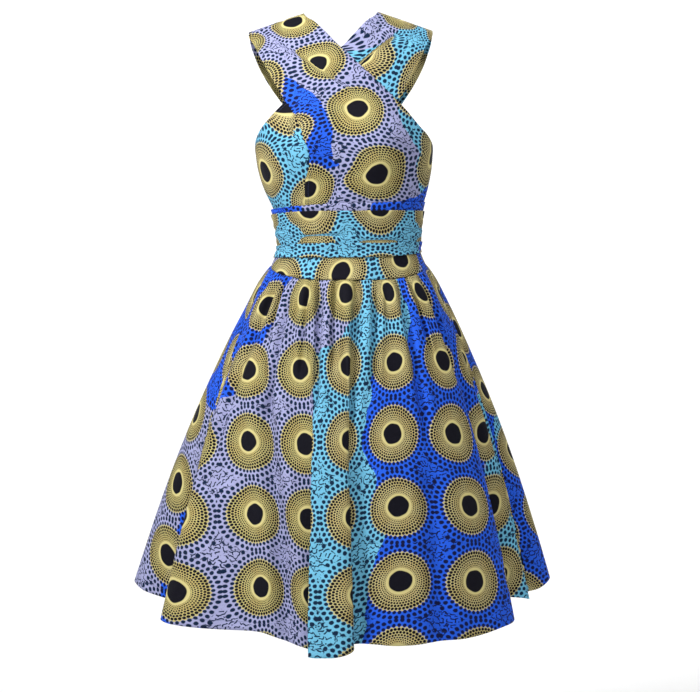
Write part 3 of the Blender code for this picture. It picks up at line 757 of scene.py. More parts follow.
def strap_rows(table, facing, lift, count):
    """Rows of points across the strap, from smooth lines through its table's edges."""
    arm_across, arm_height, neck_across, neck_height, rise = (column(table, index) for index in range(5))
    neck_height = neck_height + lift * rise
    seam_turn = 90 - math.degrees((SEAM_GAP / 2 / FIGURE[-1][FRONT_DEPTH]) ** (SQUARENESS / 2))
    arm_turn, neck_turn = turn_at(arm_across, arm_height), turn_at(neck_across, neck_height)
    ends = np.stack([arm_turn, arm_height, neck_turn, neck_height], axis=-1)
    ends = smooth(np.linspace(0, len(table) - 1, count), np.arange(len(table)), ends)
    ends[:, 2] = np.minimum(ends[:, 2], seam_turn)
    share = np.linspace(0, 1, STRAP_COLUMNS + 1)
    turns = ends[:, 0:1] * (1 - share) + ends[:, 2:3] * share
    heights = ends[:, 1:2] * (1 - share) + ends[:, 3:4] * share
    return figure(turns if facing > 0 else 180 - turns, heights)


def strap(mirrored, layer):
    """A whole strap, from the front waist over the shoulder to the back waist, on its layer."""
    lift = 1.0 if mirrored else 0.0
    across = np.linspace(SHOULDER_ARM, SHOULDER_NECK, STRAP_COLUMNS + 1)
    ridge = np.stack([across + SHOULDER_LEAN, 0 * across, shoulder_line(across)], axis=-1)
    front = strap_rows(STRAP_FRONT, 1, lift, STRAP_FRONT_ROWS)
    back = strap_rows(STRAP_BACK, -1, lift, STRAP_BACK_ROWS)
    whole = np.concatenate([front, [ridge], back])
    whole = whole + outward(whole) * layer * LAYER
    if mirrored:
        climbed = climb(whole[..., 0], whole[..., 2])
        leans = curve(FIGURE, LEAN, whole[..., 2]) + SHOULDER_LEAN * climbed
        whole[..., 0] = 2 * leans - whole[..., 0]
        whole[..., 2] += UNDER_SHOULDER_LIFT * climbed**2
        whole = whole[:, ::-1]
    return whole


def strap_places():
    """Shares along and across a strap, for each point of its grid."""
    along = np.concatenate(
        [np.linspace(0, 1, STRAP_FRONT_ROWS + 1)[:-1], [1.0], np.linspace(1, 2, STRAP_BACK_ROWS + 1)[1:]]
    )
    return np.meshgrid(along, np.linspace(0, 1, STRAP_COLUMNS + 1), indexing="ij")


def strap_cloth(mirrored, layer, print_table, crease_table):
    """A strap's points and its cloth coordinates in repeats of the print."""
    grid = strap(mirrored, layer)
    along, across = strap_places()
    depth, hidden = creases(crease_table, along, across, lengths_across(grid))
    length = length_along(grid[:, STRAP_COLUMNS // 2])
    lengths = length[:, None] + 0 * across
    knots = np.interp(column(print_table, 0), along[:, 0], length)
    values = [smooth(lengths, knots, column(print_table, index)) for index in range(1, 9)]
    cloth = np.stack([through(across, values[4:]) + hidden, through(across, values[:4])], axis=-1)
    return sunk(grid, depth), cloth, along, across


def strap_grounds(table, along, across, widths):
    """How far inside the blue and the turquoise ground each point of a strap is, in repeats."""
    blue_edge, turquoise_edge = curve(table, 1, along), curve(table, 2, along)
    return (blue_edge - across) * widths / REPEAT, (across - turquoise_edge) * widths / REPEAT


# ---------------------------------------------------------------------------- wraps and waistband


def edge(name, turn):
    """Height of a named edge of the wraps and the waistband, at a turn in degrees."""
    names = ("fold_top", "midriff_top", "lower_wrap_top", "lower_wrap_bottom", "waist_seam")
    return curve(EDGES, 1 + names.index(name), (turn + 180) % 360 - 180)


def band(turns, top, bottom, rows, layer, closed=True):
    """A band round the figure, from the heights of its edges at some turns, in rows from the bottom up."""
    shares = np.linspace(0, 1, rows + 1)
    grid = np.array([figure(turns, bottom + (top - bottom) * share) for share in shares])
    return grid + outward(grid, closed) * layer * LAYER


def band_cloth(top, bottom, rows, layer, print_place, crease_table):
    """A band's points and its cloth coordinates, with a column of medallions at its first turn.

    The rows of medallions may slope across the front, by a share of a row from column to column.
    """
    first_turn, apart, row_at_bottom, rows_up, slope, droop = print_place
    turns = np.linspace(-180, 180, BAND_COLUMNS + 1)
    grid = band(turns[:-1], top(turns[:-1]), bottom(turns[:-1]), rows, layer)
    up, round_share = np.meshgrid(np.linspace(0, 1, rows + 1), (turns + 180) / 360, indexing="ij")
    heights = np.abs(top(turns) - bottom(turns))[None, :]
    depth, hidden = creases(crease_table, round_share, up, heights)
    arc = length_along(np.concatenate([grid[rows // 2], grid[rows // 2, :1]]))
    columns = (arc - np.interp(first_turn, turns, arc)) / apart
    sloping = (slope - droop * columns) * columns * np.cos(np.radians(turns) / 2) ** 2
    cloth = np.stack([columns + 0 * up, row_at_bottom + sloping - rows_up * up - hidden], axis=-1)
    return sunk(grid, depth[:, :-1], closed=True), cloth, turns + 0 * up


def spans(turn, table):
    """How far inside the nearest of some stretches of the turn a point is, in repeats of the print."""
    inside = [np.minimum(turn - start, end - turn) for start, end in table]
    return np.max(inside, axis=0) / DEGREES_PER_REPEAT


# ----------------------------------------------------------------------------------------- skirt


def hem_places(table, count):
    """Points along a stretch of the hem, closer where it turns, with their shares of its length."""
    between_entries = np.linspace(0, len(table) - 1, HEM_FINENESS * len(table))
    dense = smooth(between_entries, np.arange(len(table)), np.array(table, float))
    length = length_along(dense[:, :2])
    steps = np.diff(dense, axis=0)
    heading = np.unwrap(np.arctan2(steps[:, 1], steps[:, 0]))
    turning = np.concatenate([[0], np.cumsum(np.abs(np.diff(heading)))])
    crowd = length[1:] / length[-1] + TURN_CROWDING * turning / turning[-1]
    crowd = np.concatenate([[0], crowd / crowd[-1]])
    wanted = np.linspace(0, 1, count + 1)
    share = np.interp(wanted, crowd, length / length[-1])
    return read_line(wanted, crowd, dense) * (1, -1, 1), share


def gathers(table, place, down):
    """How far the gathers stand out at a place from -1 to 1 along a panel, at a share down the skirt."""
    valleys = column(table, 0)
    step = np.clip(np.searchsorted(valleys, place, side="right") - 1, 0, len(table) - 2)
    share = (place - valleys[step]) / (valleys[step + 1] - valleys[step])
    height, reach = column(table, 1)[step], column(table, 2)[step]
    bloom = min(1.0, GATHER_START + (1 - GATHER_START) * down / GATHER_BLOOM)
    return height * bloom * (np.sin(np.pi * share) * np.clip(1 - down / reach, 0, 1)) ** GATHER_SLOPE


def skirt_panel(hem_table, gather_table, count, waist_turns, hem_turns):
    """A skirt panel as a grid from hem to waist, with its shares along the panel and down the skirt."""
    hem, share = hem_places(hem_table, count)
    turns = between(waist_turns, share)
    seam = edge("waist_seam", turns)
    waist = band(turns, WAISTBAND_TOP, seam, rows=2, layer=WAISTBAND_LAYER, closed=False)[0]
    waist[:, 2] -= SEAM_GAP + SLOPE_RISE * WALL
    sideways, forward = oval(between(hem_turns, share))
    depth = np.where(forward > 0, HEM_SMOOTH_FRONT, HEM_SMOOTH_BACK)
    even = np.stack([HEM_LEAN + HEM_SMOOTH_HALF * sideways, -depth * forward, hem[:, 2]], axis=-1)
    downs = np.linspace(1, 0, SKIRT_ROWS + 1) ** SKIRT_CROWDING
    rows = []
    for down in downs:
        spread, folded = down**FLARE + BELL * math.sin(math.pi * down), down**FOLD_FADE
        row = waist + (even - waist) * spread + (hem - even) * folded
        row[:, 2] = waist[:, 2] + (hem[:, 2] - waist[:, 2]) * down
        out = gathers(gather_table, 2 * share - 1, down)
        row[:, 0] += sideways * out
        row[:, 1] -= forward * out
        rows.append(row)
    return np.array(rows), *np.meshgrid(downs, share, indexing="ij")


def front_columns(down, share):
    """The column of medallions at each point of the skirt front, read between the columns of its table."""
    numbers = [FRONT_MEDALLION_COLUMNS[0] - 1, *FRONT_MEDALLION_COLUMNS, FRONT_MEDALLION_COLUMNS[-1] + 1]
    found = []
    for row_down, row_share in zip(down[:, 0], share):
        knots = smooth(row_down, column(FRONT_PRINT, 0), np.array(FRONT_PRINT)[:, 1:])
        knots = np.concatenate([[2 * knots[0] - knots[1]], knots, [2 * knots[-1] - knots[-2]]])
        found.append(smooth(row_share, knots, numbers))
    return np.array(found)


def down_the_cloth(grid):
    """Distance of each point below the waist seam, measured on the cloth."""
    return length_along(grid[::-1])[::-1]


def front_skirt_cloth():
    """The skirt front's points, its cloth coordinates and its grounds."""
    turns, hem_turns = (-SIDE_SEAM_TURN, SIDE_SEAM_TURN), (HEM_RIGHT_TURN, HEM_LEFT_TURN)
    grid, down, share = skirt_panel(HEM_FRONT, FRONT_GATHERS, FRONT_COLUMNS, turns, hem_turns)
    columns = front_columns(down, share)
    first, apart = curve(FRONT_FIRST_ROW, 1, columns), curve(FRONT_FIRST_ROW, 2, columns)
    rows = (down_the_cloth(grid) - first) / apart
    depth, hidden = creases(FRONT_CREASES, down, share, lengths_across(grid))
    cloth = np.stack([columns + hidden, rows], axis=-1)
    return sunk(grid, depth), cloth, front_grounds(columns, rows)


def back_skirt_cloth():
    """The same for the skirt back."""
    turns, hem_turns = (SIDE_SEAM_TURN, 360 - SIDE_SEAM_TURN), (HEM_LEFT_TURN, 360 + HEM_RIGHT_TURN)
    grid, down, share = skirt_panel(HEM_BACK, BACK_GATHERS, BACK_COLUMNS, turns, hem_turns)
    first, last = curve(BACK_PRINT, 1, down), curve(BACK_PRINT, 2, down)
    across = (share - first) / (last - first)
    columns = between(BACK_END_COLUMNS, across)
    rows = (down_the_cloth(grid) - between(BACK_FIRST_ROW, across)) / REPEAT
    depth, hidden = creases(BACK_CREASES, down, share, lengths_across(grid))
    cloth = np.stack([columns + hidden, rows], axis=-1)
    return sunk(grid, depth), cloth, back_grounds(columns, rows)


def front_grounds(columns, rows):
    """How far inside the blue and the turquoise ground each point of the skirt front is, in repeats."""
    edges = [curve(FRONT_GROUNDS, index, rows) for index in range(1, 6)]
    right_blue, turquoise_from, turquoise_to, again_from, again_to = edges
    hem_blue = np.minimum(rows - HEM_BLUE_FROM, HEM_BLUE_TO - columns)
    middle_blue = np.minimum(columns - turquoise_to, again_from - columns)
    blue = np.max([right_blue - columns, middle_blue, hem_blue, columns - again_to], axis=0)
    first = np.minimum(columns - turquoise_from, turquoise_to + UNDER_BLUE - columns)
    return blue, np.maximum(first, np.minimum(columns - again_from, again_to - columns))


def back_grounds(columns, rows):
    """The same for the skirt back."""
    edges = [curve(BACK_GROUNDS, index, rows) for index in range(1, 6)]
    blue_to, turquoise_to, blue_from, blue_until, last_blue = edges
    middle_blue = np.minimum(columns - blue_from, blue_until - columns)
    blue = np.max([blue_to - columns, middle_blue, columns - last_blue], axis=0)
    return blue, np.minimum(columns - blue_to + UNDER_BLUE, turquoise_to - columns)


# ---------------------------------------------------------------------------------- mesh pieces


def placed(name, data):
    """A new object in the scene, made of a mesh, a lamp or a camera."""
    thing = bpy.data.objects.new(name, data)
    bpy.context.scene.collection.objects.link(thing)
    return thing


def cloth_piece(name, grid, cloth, grounds, material, closed=False):
    """A sheet of cloth from a grid of points, with its cloth coordinates and its grounds as two maps."""
    rows, columns = grid.shape[:2]
    points = np.arange(rows * columns).reshape(rows, columns)
    if closed:
        points = np.concatenate([points, points[:, :1]], axis=1)
    places = np.arange(points.size).reshape(points.shape)

    def corners(table):
        """The four corners of every face of a grid."""
        around = [table[:-1, :-1], table[:-1, 1:], table[1:, 1:], table[1:, :-1]]
        return np.stack(around, axis=-1).reshape(-1, 4)

    mesh = bpy.data.meshes.new(name)
    mesh.from_pydata((grid * MM).reshape(-1, 3).tolist(), [], corners(points).tolist())
    loops = corners(places).ravel()
    for map_name, values in ((CLOTH_MAP, cloth), (GROUND_MAP, np.stack(grounds, axis=-1))):
        layer = mesh.uv_layers.new(name=map_name)
        layer.data.foreach_set("uv", values.reshape(-1, 2)[loops].ravel())
    mesh.materials.append(material)
    mesh.shade_smooth()
    piece = placed(name, mesh)
    wall = piece.modifiers.new("thickness of the cloth", "SOLIDIFY")
    wall.thickness = CLOTH * MM
    wall.offset = 0
    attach(piece, "root")
    return piece


def seam_stitches(name, paths, material):
    """Small thread stitches along some paths, each a list of points and their normals, as one mesh."""
    points, faces = [], []
    box_faces = np.array(
        [(0, 1, 3, 2), (4, 6, 7, 5), (0, 4, 5, 1), (2, 3, 7, 6), (0, 2, 6, 4), (1, 5, 7, 3)]
    )
    levels = ((CLOTH / 2 - STITCH_HEIGHT / 2, 1.0), (CLOTH / 2 + STITCH_HEIGHT, STITCH_TOP))
    for path, normals in paths:
        length = length_along(path)
        starts = np.arange(STITCH_STEP, length[-1] - STITCH_STEP, STITCH_STEP)
        for start in starts:
            ends = [read_line(at, length, path) for at in (start, start + STITCH_LENGTH)]
            out = read_line(start, length, normals)
            out /= np.linalg.norm(out)
            aside = np.cross(ends[1] - ends[0], out)
            aside *= STITCH_WIDTH / 2 / np.linalg.norm(aside)
            base = len(points)
            for end in ends:
                for side in (-1, 1):
                    for rise, width in levels:
                        points.append(end + aside * side * width + out * rise)
            faces.extend((box_faces + base).tolist())
    mesh = bpy.data.meshes.new(name)
    mesh.from_pydata((np.array(points) * MM).tolist(), [], faces)
    mesh.materials.append(material)
    piece = placed(name, mesh)
    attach(piece, "root")
    return piece


def row_path(grid, distance, from_end=False):
    """A line on the cloth that keeps its distance from the grid's first row or its last, and its normals."""
    normals = outward(grid)
    if from_end:
        grid, normals = grid[::-1], normals[::-1]
    path, outs = [], []
    for length, points, out in zip(length_along(grid).T, grid.swapaxes(0, 1), normals.swapaxes(0, 1)):
        path.append(read_line(distance, length, points))
        outs.append(read_line(distance, length, out))
    return np.array(path), np.array(outs)


def edge_path(grid, distance, last=False):
    """The same for the grid's first column or its last one."""
    turned = grid.transpose(1, 0, 2)
    path, normals = row_path(turned, distance, from_end=last)
    return path, -normals


# ------------------------------------------------------------------------------------- materials


class Field:
    """A number or vector that changes over a surface: a shader socket that takes Python's operators."""

    def __init__(self, paint, socket):
        self.paint, self.socket = paint, socket

    def __add__(self, other):
        return self.paint.math("ADD", self, other)

    def __sub__(self, other):
        return self.paint.math("SUBTRACT", self, other)

    def __rsub__(self, other):
        return self.paint.math("SUBTRACT", other, self)

    def __mul__(self, other):
        return self.paint.math("MULTIPLY", self, other)

    def __truediv__(self, other):
        return self.paint.math("DIVIDE", self, other)

    def __rtruediv__(self, other):
        return self.paint.math("DIVIDE", other, self)

    def __lt__(self, other):
        return self.paint.math("LESS_THAN", self, other)

    def __gt__(self, other):
        return self.paint.math("GREATER_THAN", self, other)

    __radd__, __rmul__ = __add__, __mul__


class Paint:
    """A material under construction, with short ways to add its nodes."""

    def __init__(self, name):
        self.material = bpy.data.materials.new(name)
        self.material.use_nodes = True
        self.tree = self.material.node_tree
        self.surface = self.tree.nodes["Principled BSDF"]

    def node(self, kind, settings=None, out=0, **inputs):
        """A node of a type, with its settings and the values or links of its sockets.

        A socket goes by its name, with _ for a space, or by i and its number.
        """
        node = self.tree.nodes.new(kind)
        for name, value in (settings or {}).items():
            setattr(node, name, value)
        for name, value in inputs.items():
            self.feed(node.inputs[int(name[1:]) if name[1:].isdigit() else name.replace("_", " ")], value)
        return Field(self, node.outputs[out])

    def feed(self, socket, value):
        """Link a field to a socket, or set the socket to a plain value."""
        if isinstance(value, Field):
            self.tree.links.new(value.socket, socket)
        else:
            socket.default_value = value

    def math(self, operation, *values):
        """A Math node on numbers."""
        inputs = {f"i{index}": value for index, value in enumerate(values)}
        return self.node("ShaderNodeMath", {"operation": operation}, **inputs)

    def vector(self, operation, *values):
        """A Vector Math node on vectors or colours."""
        inputs = {f"i{index}": value for index, value in enumerate(values)}
        return self.node("ShaderNodeVectorMath", {"operation": operation}, **inputs)

    def scaled(self, vector, scale):
        """A vector or a colour, times a number."""
        return self.node("ShaderNodeVectorMath", {"operation": "SCALE"}, i0=vector, Scale=scale)

    def blend(self, share, first, second):
        """First colour where the share is 0, second where it is 1."""
        settings = {"data_type": "RGBA", "clamp_factor": True}
        return self.node("ShaderNodeMix", settings, out=2, i0=share, i6=first, i7=second)

    def step(self, value, start, end):
        """0 up to start, 1 from end, smooth between them."""
        settings = {"interpolation_type": "SMOOTHSTEP"}
        return self.node("ShaderNodeMapRange", settings, Value=value, From_Min=start, From_Max=end)

    def noise(self, place, scale, detail=0.0, roughness=0.5, out=0):
        """Flat noise from 0 to 1."""
        settings = {"noise_dimensions": "2D"}
        look = {"Scale": scale, "Detail": detail, "Roughness": roughness}
        return self.node("ShaderNodeTexNoise", settings, out=out, Vector=place, **look)

    def wobble(self, place, scale, reach, detail=0.0):
        """Flat noise round 0, from half its reach below to half its reach above."""
        return (self.noise(place, scale, detail) - 0.5) * reach

    def patches(self, place, scale, start, end, detail=0.0):
        """Patches of 1 where flat noise is over end, in 0 where it is under start."""
        return self.step(self.noise(place, scale, detail), start, end)

    def net(self, place, scale, disorder, out=0):
        """A net of cells: the distance from the middle of each, or its own colour or place."""
        settings = {"voronoi_dimensions": "2D"}
        look = {"Scale": scale, "Randomness": disorder}
        return self.node("ShaderNodeTexVoronoi", settings, out=out, Vector=place, **look)

    def shaded(self, mask, colour, strength, scale):
        """A colour, part of it times a number where the mask is 1."""
        return self.blend(mask * strength, colour, self.scaled(colour, scale))

    def split(self, vector):
        """The three numbers of a vector."""
        parts = self.node("ShaderNodeSeparateXYZ", Vector=vector)
        return [Field(self, parts.socket.node.outputs[axis]) for axis in "XYZ"]


def wax_print():
    """Printed cotton, the same on both sides: ringed medallions in rows, on lilac, turquoise and blue."""
    paint = Paint("wax print cotton")
    flat = paint.node("ShaderNodeUVMap", {"uv_map": CLOTH_MAP})
    drift = paint.vector("SUBTRACT", paint.noise(flat, DRIFT_SCALE, 1.0, out="Color"), (0.5, 0.5, 0.5))
    place = paint.vector("ADD", flat, paint.scaled(drift, DRIFT))
    across, down, _ = paint.split(place)
    own_column, own_row = paint.math("ROUND", across), paint.math("ROUND", down)
    across, down = across - own_column, down - own_row
    reach = paint.math("SQRT", across * across + down * down)
    angle = paint.math("ARCTAN2", down, across)

    # rings of beads that grow outwards, each ring half a bead on from the last
    on_gold = reach < GOLD_REACH
    ring = paint.math("LOGARITHM", reach / GOLD_REACH, math.e)
    ring = ring * (1 / RING_STEP + on_gold * (1 / FINE_RING_STEP - 1 / RING_STEP))
    ring_number = paint.math("FLOOR", ring)
    bead = angle * (BEADS + on_gold * (FINE_BEADS - BEADS)) / math.tau + ring_number * 0.5
    bead_aside = paint.math("FRACT", bead) - 0.5
    bead_out = paint.math("FRACT", ring) - 0.5
    length = BEAD_LONG + on_gold * (BEAD_ROUND - BEAD_LONG)
    bead_away = paint.math("SQRT", bead_aside * bead_aside + bead_out * bead_out * length)
    growth = paint.step(reach, HALO_REACH, GOLD_REACH)
    bead_size = BEAD_SMALL + growth * (BEAD_LARGE - BEAD_SMALL)
    bead_size = bead_size + (1 - on_gold) * (BEAD_OUTSIDE - BEAD_LARGE) + paint.wobble(place, *BEAD_WOBBLE)
    beads = paint.step(bead_away, bead_size + BEAD_EDGE, bead_size - BEAD_EDGE)
    bare = paint.patches(place, *BARE_PATCHES) * (reach > LAST_RING)
    beads = beads * (paint.step(reach, BEADS_REACH + EDGE, BEADS_REACH - EDGE) * (1 - bare))

    # the gold, scalloped round its outer beads, and the disc in its halo
    gold_reach = GOLD_REACH + SCALLOP + paint.math("COSINE", angle * BEADS) * SCALLOP
    in_gold = paint.step(reach - gold_reach, EDGE, -EDGE)
    halo = paint.step(reach, HALO_REACH + 2 * EDGE, HALO_REACH - EDGE)
    disc = paint.step(reach + paint.wobble(place, *DISC_WOBBLE), DISC_REACH + EDGE, DISC_REACH - EDGE)

    # in the corners between four medallions, a short curled stroke to each cell of a loose net, and specks
    corner = paint.step(reach + paint.wobble(place, *CORNER_WOBBLE), CORNER_FROM, CORNER_FROM + 3 * EDGE)
    net = paint.scaled(place, STROKES_PER_REPEAT)
    cell = paint.net(net, 1.0, STROKE_DISORDER, out="Position")
    tilt, curl, start = paint.split(Field(paint, cell.socket.node.outputs["Color"]))
    cosine = paint.math("COSINE", (tilt - 0.5) * STROKE_TILT)
    sine = paint.math("SINE", (tilt - 0.5) * STROKE_TILT)
    level, upright, _ = paint.split(paint.vector("SUBTRACT", net, cell))
    lengthwise = level * cosine + upright * sine
    wave = paint.math("SINE", lengthwise * STROKE_WAVES + start * math.tau)
    wave = wave * (curl + STROKE_LEAST_CURL) * STROKE_CURL
    away = paint.math("ABSOLUTE", upright * cosine - level * sine - wave)
    stroke = paint.step(away, STROKE_WIDTH, STROKE_WIDTH * STROKE_CORE)
    from_middle = paint.math("ABSOLUTE", lengthwise)
    stroke = stroke * paint.step(from_middle, STROKE_LENGTH, STROKE_LENGTH * STROKE_TIP)
    unbroken = paint.patches(place, *STROKE_PATCHES)
    speck_away = paint.net(place, SPECK_SCALE, SPECK_DISORDER)
    specks = paint.step(speck_away, SPECK_SIZE, SPECK_SIZE * SPECK_CORE) * (1 - unbroken)
    strokes = corner * (1 - beads) * paint.math("MAXIMUM", stroke * unbroken, specks)

    # grounds
    wander = paint.wobble(flat, *GROUND_WOBBLE, detail=1.0)
    into_blue, into_turquoise, _ = paint.split(paint.node("ShaderNodeUVMap", {"uv_map": GROUND_MAP}))
    blue = paint.step(into_blue + wander, -EDGE, EDGE)
    turquoise = paint.step(into_turquoise + wander, -EDGE, EDGE)
    mottle = paint.noise(flat, MOTTLE_SCALE, 2.0, MOTTLE_GRAIN)
    ground = paint.blend(turquoise, LILAC, TURQUOISE)
    ground = paint.blend(blue, ground, BLUE)
    # painted sheen: pale patches where the ground is made lighter
    ground = paint.shaded(paint.patches(flat, *PAINTED_SHEEN_PATCHES, detail=2.0), ground, *PAINTED_SHEEN)
    ground = paint.shaded(paint.step(mottle, *GROUND_MOTTLE), ground, *GROUND_DARKER)

    # medallions
    gold = paint.blend(paint.math("MAXIMUM", blue, turquoise), GOLD_OLIVE, GOLD_SAND)
    amber = paint.patches(place, *AMBER_PATCHES, detail=1.0)
    gold = paint.blend(amber * AMBER_SHARE, gold, GOLD_AMBER)
    gold = paint.shaded(paint.step(mottle, *GOLD_MOTTLE), gold, *GOLD_DARKER)
    navy = paint.vector("ADD", paint.vector("MULTIPLY", ground, SHOWING_THROUGH), INK[:3])
    colour = paint.blend(in_gold, ground, gold)
    colour = paint.blend(beads * (1 - halo), colour, paint.blend(on_gold, navy, INK))
    colour = paint.blend(strokes, colour, navy)
    colour = paint.blend(halo, colour, HALO)
    colour = paint.blend(disc, colour, INK)
    paint.feed(paint.surface.inputs["Base Color"], colour)

    # plain weave, and the small unevenness of cloth that has been worn
    threads_across, threads_down, _ = paint.split(paint.scaled(flat, math.tau * THREADS_PER_REPEAT))
    weave = paint.math("SINE", threads_across) * paint.math("SINE", threads_down)
    uneven = paint.noise(flat, UNEVEN_SCALE, 2.0, UNEVEN_GRAIN)
    height = weave * WEAVE_DEPTH + uneven * UNEVEN_DEPTH
    bump = paint.node("ShaderNodeBump", Strength=1.0, Distance=MM, Height=height)
    paint.feed(paint.surface.inputs["Normal"], bump)
    roughness = COTTON_ROUGHNESS + mottle * MOTTLE_ROUGHNESS + disc * DISC_ROUGHNESS
    paint.feed(paint.surface.inputs["Roughness"], roughness)
    for name, value in (("Sheen Weight", 0.02), ("Sheen Roughness", 0.5), ("Specular IOR Level", 0.06)):
        paint.feed(paint.surface.inputs[name], value)
    return paint.material


def thread():
    """Dark blue sewing thread with a fine twist."""
    paint = Paint("sewing thread")
    place = paint.node("ShaderNodeTexCoord", out="Object")
    twist = paint.node("ShaderNodeTexWave", Vector=place, Scale=TWIST_SCALE, Distortion=1.0)
    paint.feed(paint.surface.inputs["Base Color"], paint.blend(twist, THREAD_DARK, THREAD_LIGHT))
    paint.feed(paint.surface.inputs["Roughness"], THREAD_ROUGHNESS + twist * TWIST_ROUGHNESS)
    return paint.material


def studio_paper():
    """Matt paper with a barely visible tooth."""
    paint = Paint("studio paper")
    tooth = paint.node("ShaderNodeTexNoise", Scale=60.0, Detail=2.0)
    paint.feed(paint.surface.inputs["Base Color"], paint.blend(tooth * 0.03, PAPER, PAPER_TOOTH))
    paint.feed(paint.surface.inputs["Roughness"], 0.9)
    return paint.material


# ----------------------------------------------------------------------------------------- dress


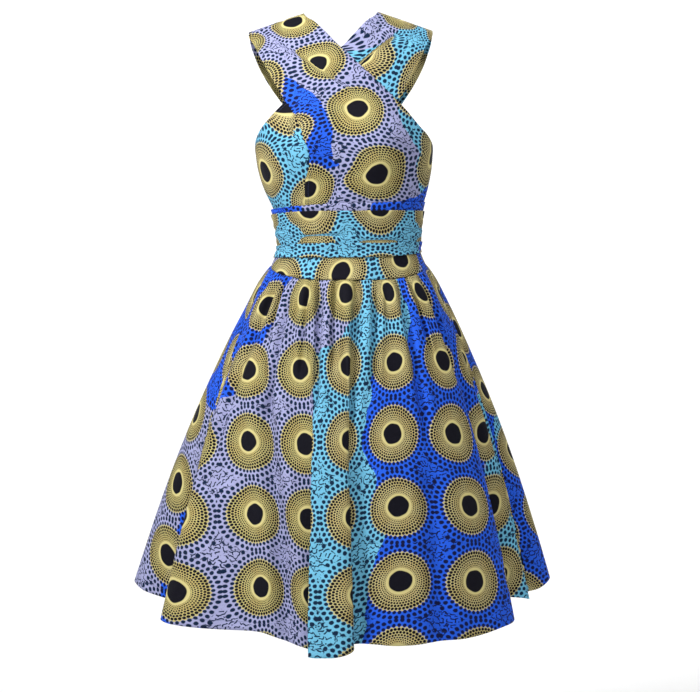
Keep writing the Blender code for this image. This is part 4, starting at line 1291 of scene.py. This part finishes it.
def dress():
    """Every piece of the dress, each as the sheet that it was cut as."""
    cotton, cotton_thread = wax_print(), thread()

    def declare(nodes):
        """Hide the parts that a piece stands in for."""
        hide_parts(*nodes)

    straps = (
        # name, mirrored, layer, print, creases, grounds, slot
        ("over", False, 1, OVER_PRINT, OVER_CREASES, OVER_GROUNDS, "lilac_wax_print"),
        ("under", True, 0, UNDER_PRINT, UNDER_CREASES, UNDER_GROUNDS, "turquoise_wax_print"),
    )
    for name, mirrored, layer, print_table, crease_table, ground_table, slot in straps:
        grid, cloth, along, across = strap_cloth(mirrored, layer, print_table, crease_table)
        blue, turquoise = strap_grounds(ground_table, along, across, lengths_across(grid))
        if name == "over":
            top = WAIST_CORNER_ALONG + WAIST_CORNER_RISE * (across - WAIST_CORNER)
            below = np.minimum(top - along, along + 1) * STRAP_LENGTH_REPEATS
            beside = (across - WAIST_CORNER) * STRAP_WIDTH_REPEATS
            blue = np.maximum(blue, np.minimum(below, beside))
        piece = cloth_piece(f"strap_{name}_cloth", grid, cloth, (blue, turquoise), cotton)
        paths = [edge_path(grid, STRAP_HEM), edge_path(grid, STRAP_HEM, last=True)]
        stitches = seam_stitches(f"strap_{name}_topstitching", paths, cotton_thread)
        nodes = (f"strap_{name}_front", f"strap_{name}_back")
        declare(nodes)

    bands = (
        # node, top, bottom, rows, layer, creases,
        # first turn, distance between medallions, row at the bottom, rows up, slope and droop of the rows,
        # blue, turquoise, slot, flat size
        (
            "underbust_fold", lambda t: edge("fold_top", t), lambda t: FOLD_BOTTOM + 0 * t,
            FOLD_ROWS, FOLD_LAYER, FOLD_CREASES,
            (-30.0, 118.0, 0.62, 0.20, 0, 0),
            FOLD_BLUE, FOLD_TURQUOISE, "blue_wax_print", (0.74, 0.026),
        ),
        (
            "midriff_wrap", lambda t: edge("midriff_top", t), lambda t: MIDRIFF_BOTTOM + 0 * t,
            MIDRIFF_ROWS, MIDRIFF_LAYER, MIDRIFF_CREASES,
            (-27.2, 113.0, 0.82, 0.80, 0, 0),
            MIDRIFF_BLUE, MIDRIFF_TURQUOISE, "turquoise_wax_print", (0.72, 0.070),
        ),
        (
            "lower_wrap", lambda t: edge("lower_wrap_top", t), lambda t: edge("lower_wrap_bottom", t),
            LOWER_WRAP_ROWS, LOWER_WRAP_LAYER, LOWER_WRAP_CREASES,
            (-29.0, 116.0, -0.34, 0.26, 0, 0),
            LOWER_BLUE, LOWER_TURQUOISE, "turquoise_wax_print", (0.71, 0.029),
        ),
        (
            "waistband", lambda t: WAISTBAND_TOP + 0 * t, lambda t: edge("waist_seam", t),
            WAISTBAND_ROWS, WAISTBAND_LAYER, WAISTBAND_CREASES,
            (-4.6, 106.0, 0.11, 0.394, WAISTBAND_SLOPE, WAISTBAND_DROOP),
            BAND_BLUE, BAND_TURQUOISE, "turquoise_wax_print", (0.74, 0.040),
        ),
    )
    for node, top, bottom, rows, layer, table, print_place, blue, turquoise, slot, cut in bands:
        grid, cloth, turns = band_cloth(top, bottom, rows, layer, print_place, table)
        grounds = (spans(turns, blue), spans(turns, turquoise))
        piece = cloth_piece(f"{node}_cloth", grid, cloth, grounds, cotton, closed=True)
        declare((node,))

    skirts = (
        # node, how it is made, slot, flat size, flat area
        ("skirt_front", front_skirt_cloth, "blue_wax_print", (1.08, 0.62), 0.50),
        ("skirt_back", back_skirt_cloth, "lilac_wax_print", (1.20, 0.62), 0.58),
    )
    for node, make, slot, cut, area in skirts:
        grid, cloth, grounds = make()
        piece = cloth_piece(f"{node}_cloth", grid, cloth, grounds, cotton)
        stitches = seam_stitches(f"{node}_hem_stitches", [row_path(grid, SKIRT_HEM)], cotton_thread)
        declare((node,))


def studio():
    """A round pale floor that curves up into a low wall all round, soft lights and the camera."""
    turns = np.linspace(0, math.pi / 2, COVE_STEPS)
    profile = [(ROOM - COVE * (1 - math.sin(turn)), FLOOR + COVE * (1 - math.cos(turn))) for turn in turns]
    profile.append((ROOM, WALL_TOP))
    points, faces = [(0.0, 0.0, FLOOR)], []
    for ring, (reach, height) in enumerate(profile):
        for step in range(ROOM_STEPS):
            turn = math.tau * step / ROOM_STEPS
            points.append((reach * math.cos(turn), reach * math.sin(turn), height))
            here, beside = 1 + ring * ROOM_STEPS + step, 1 + ring * ROOM_STEPS + (step + 1) % ROOM_STEPS
            inner = (beside - ROOM_STEPS, here - ROOM_STEPS) if ring else (0,)
            faces.append((here, beside, *inner))
    mesh = bpy.data.meshes.new("studio_floor")
    mesh.from_pydata(points, [], faces)
    mesh.materials.append(studio_paper())
    mesh.shade_smooth()
    placed("studio_floor", mesh)

    world = bpy.data.worlds.new("studio")
    world.use_nodes = True
    world.node_tree.nodes["Background"].inputs["Color"].default_value = (1.0, 1.0, 1.0, 1)
    world.node_tree.nodes["Background"].inputs["Strength"].default_value = WORLD_LIGHT
    bpy.context.scene.world = world
    bpy.context.scene.view_settings.view_transform = "Standard"
    for name, place, aim, size, power in LIGHTS:
        data = bpy.data.lights.new(name, "AREA")
        data.shape = "RECTANGLE"
        data.size, data.size_y = size
        data.energy = power
        lamp = placed(name, data)
        lamp.location = place
        right, forward, up = np.array(aim, float) - np.array(place, float)
        lamp.rotation_euler = (math.atan2(math.hypot(right, forward), -up), 0, math.atan2(-right, forward))

    data = bpy.data.cameras.new("camera")
    data.sensor_fit, data.sensor_width, data.lens = "HORIZONTAL", CAMERA_SENSOR, CAMERA_LENS
    camera = placed("camera", data)
    camera.location = CAMERA_PLACE
    camera.rotation_euler = (math.pi / 2 - CAMERA_DIP, 0, 0)
    bpy.context.scene.camera = camera


dress()
studio()
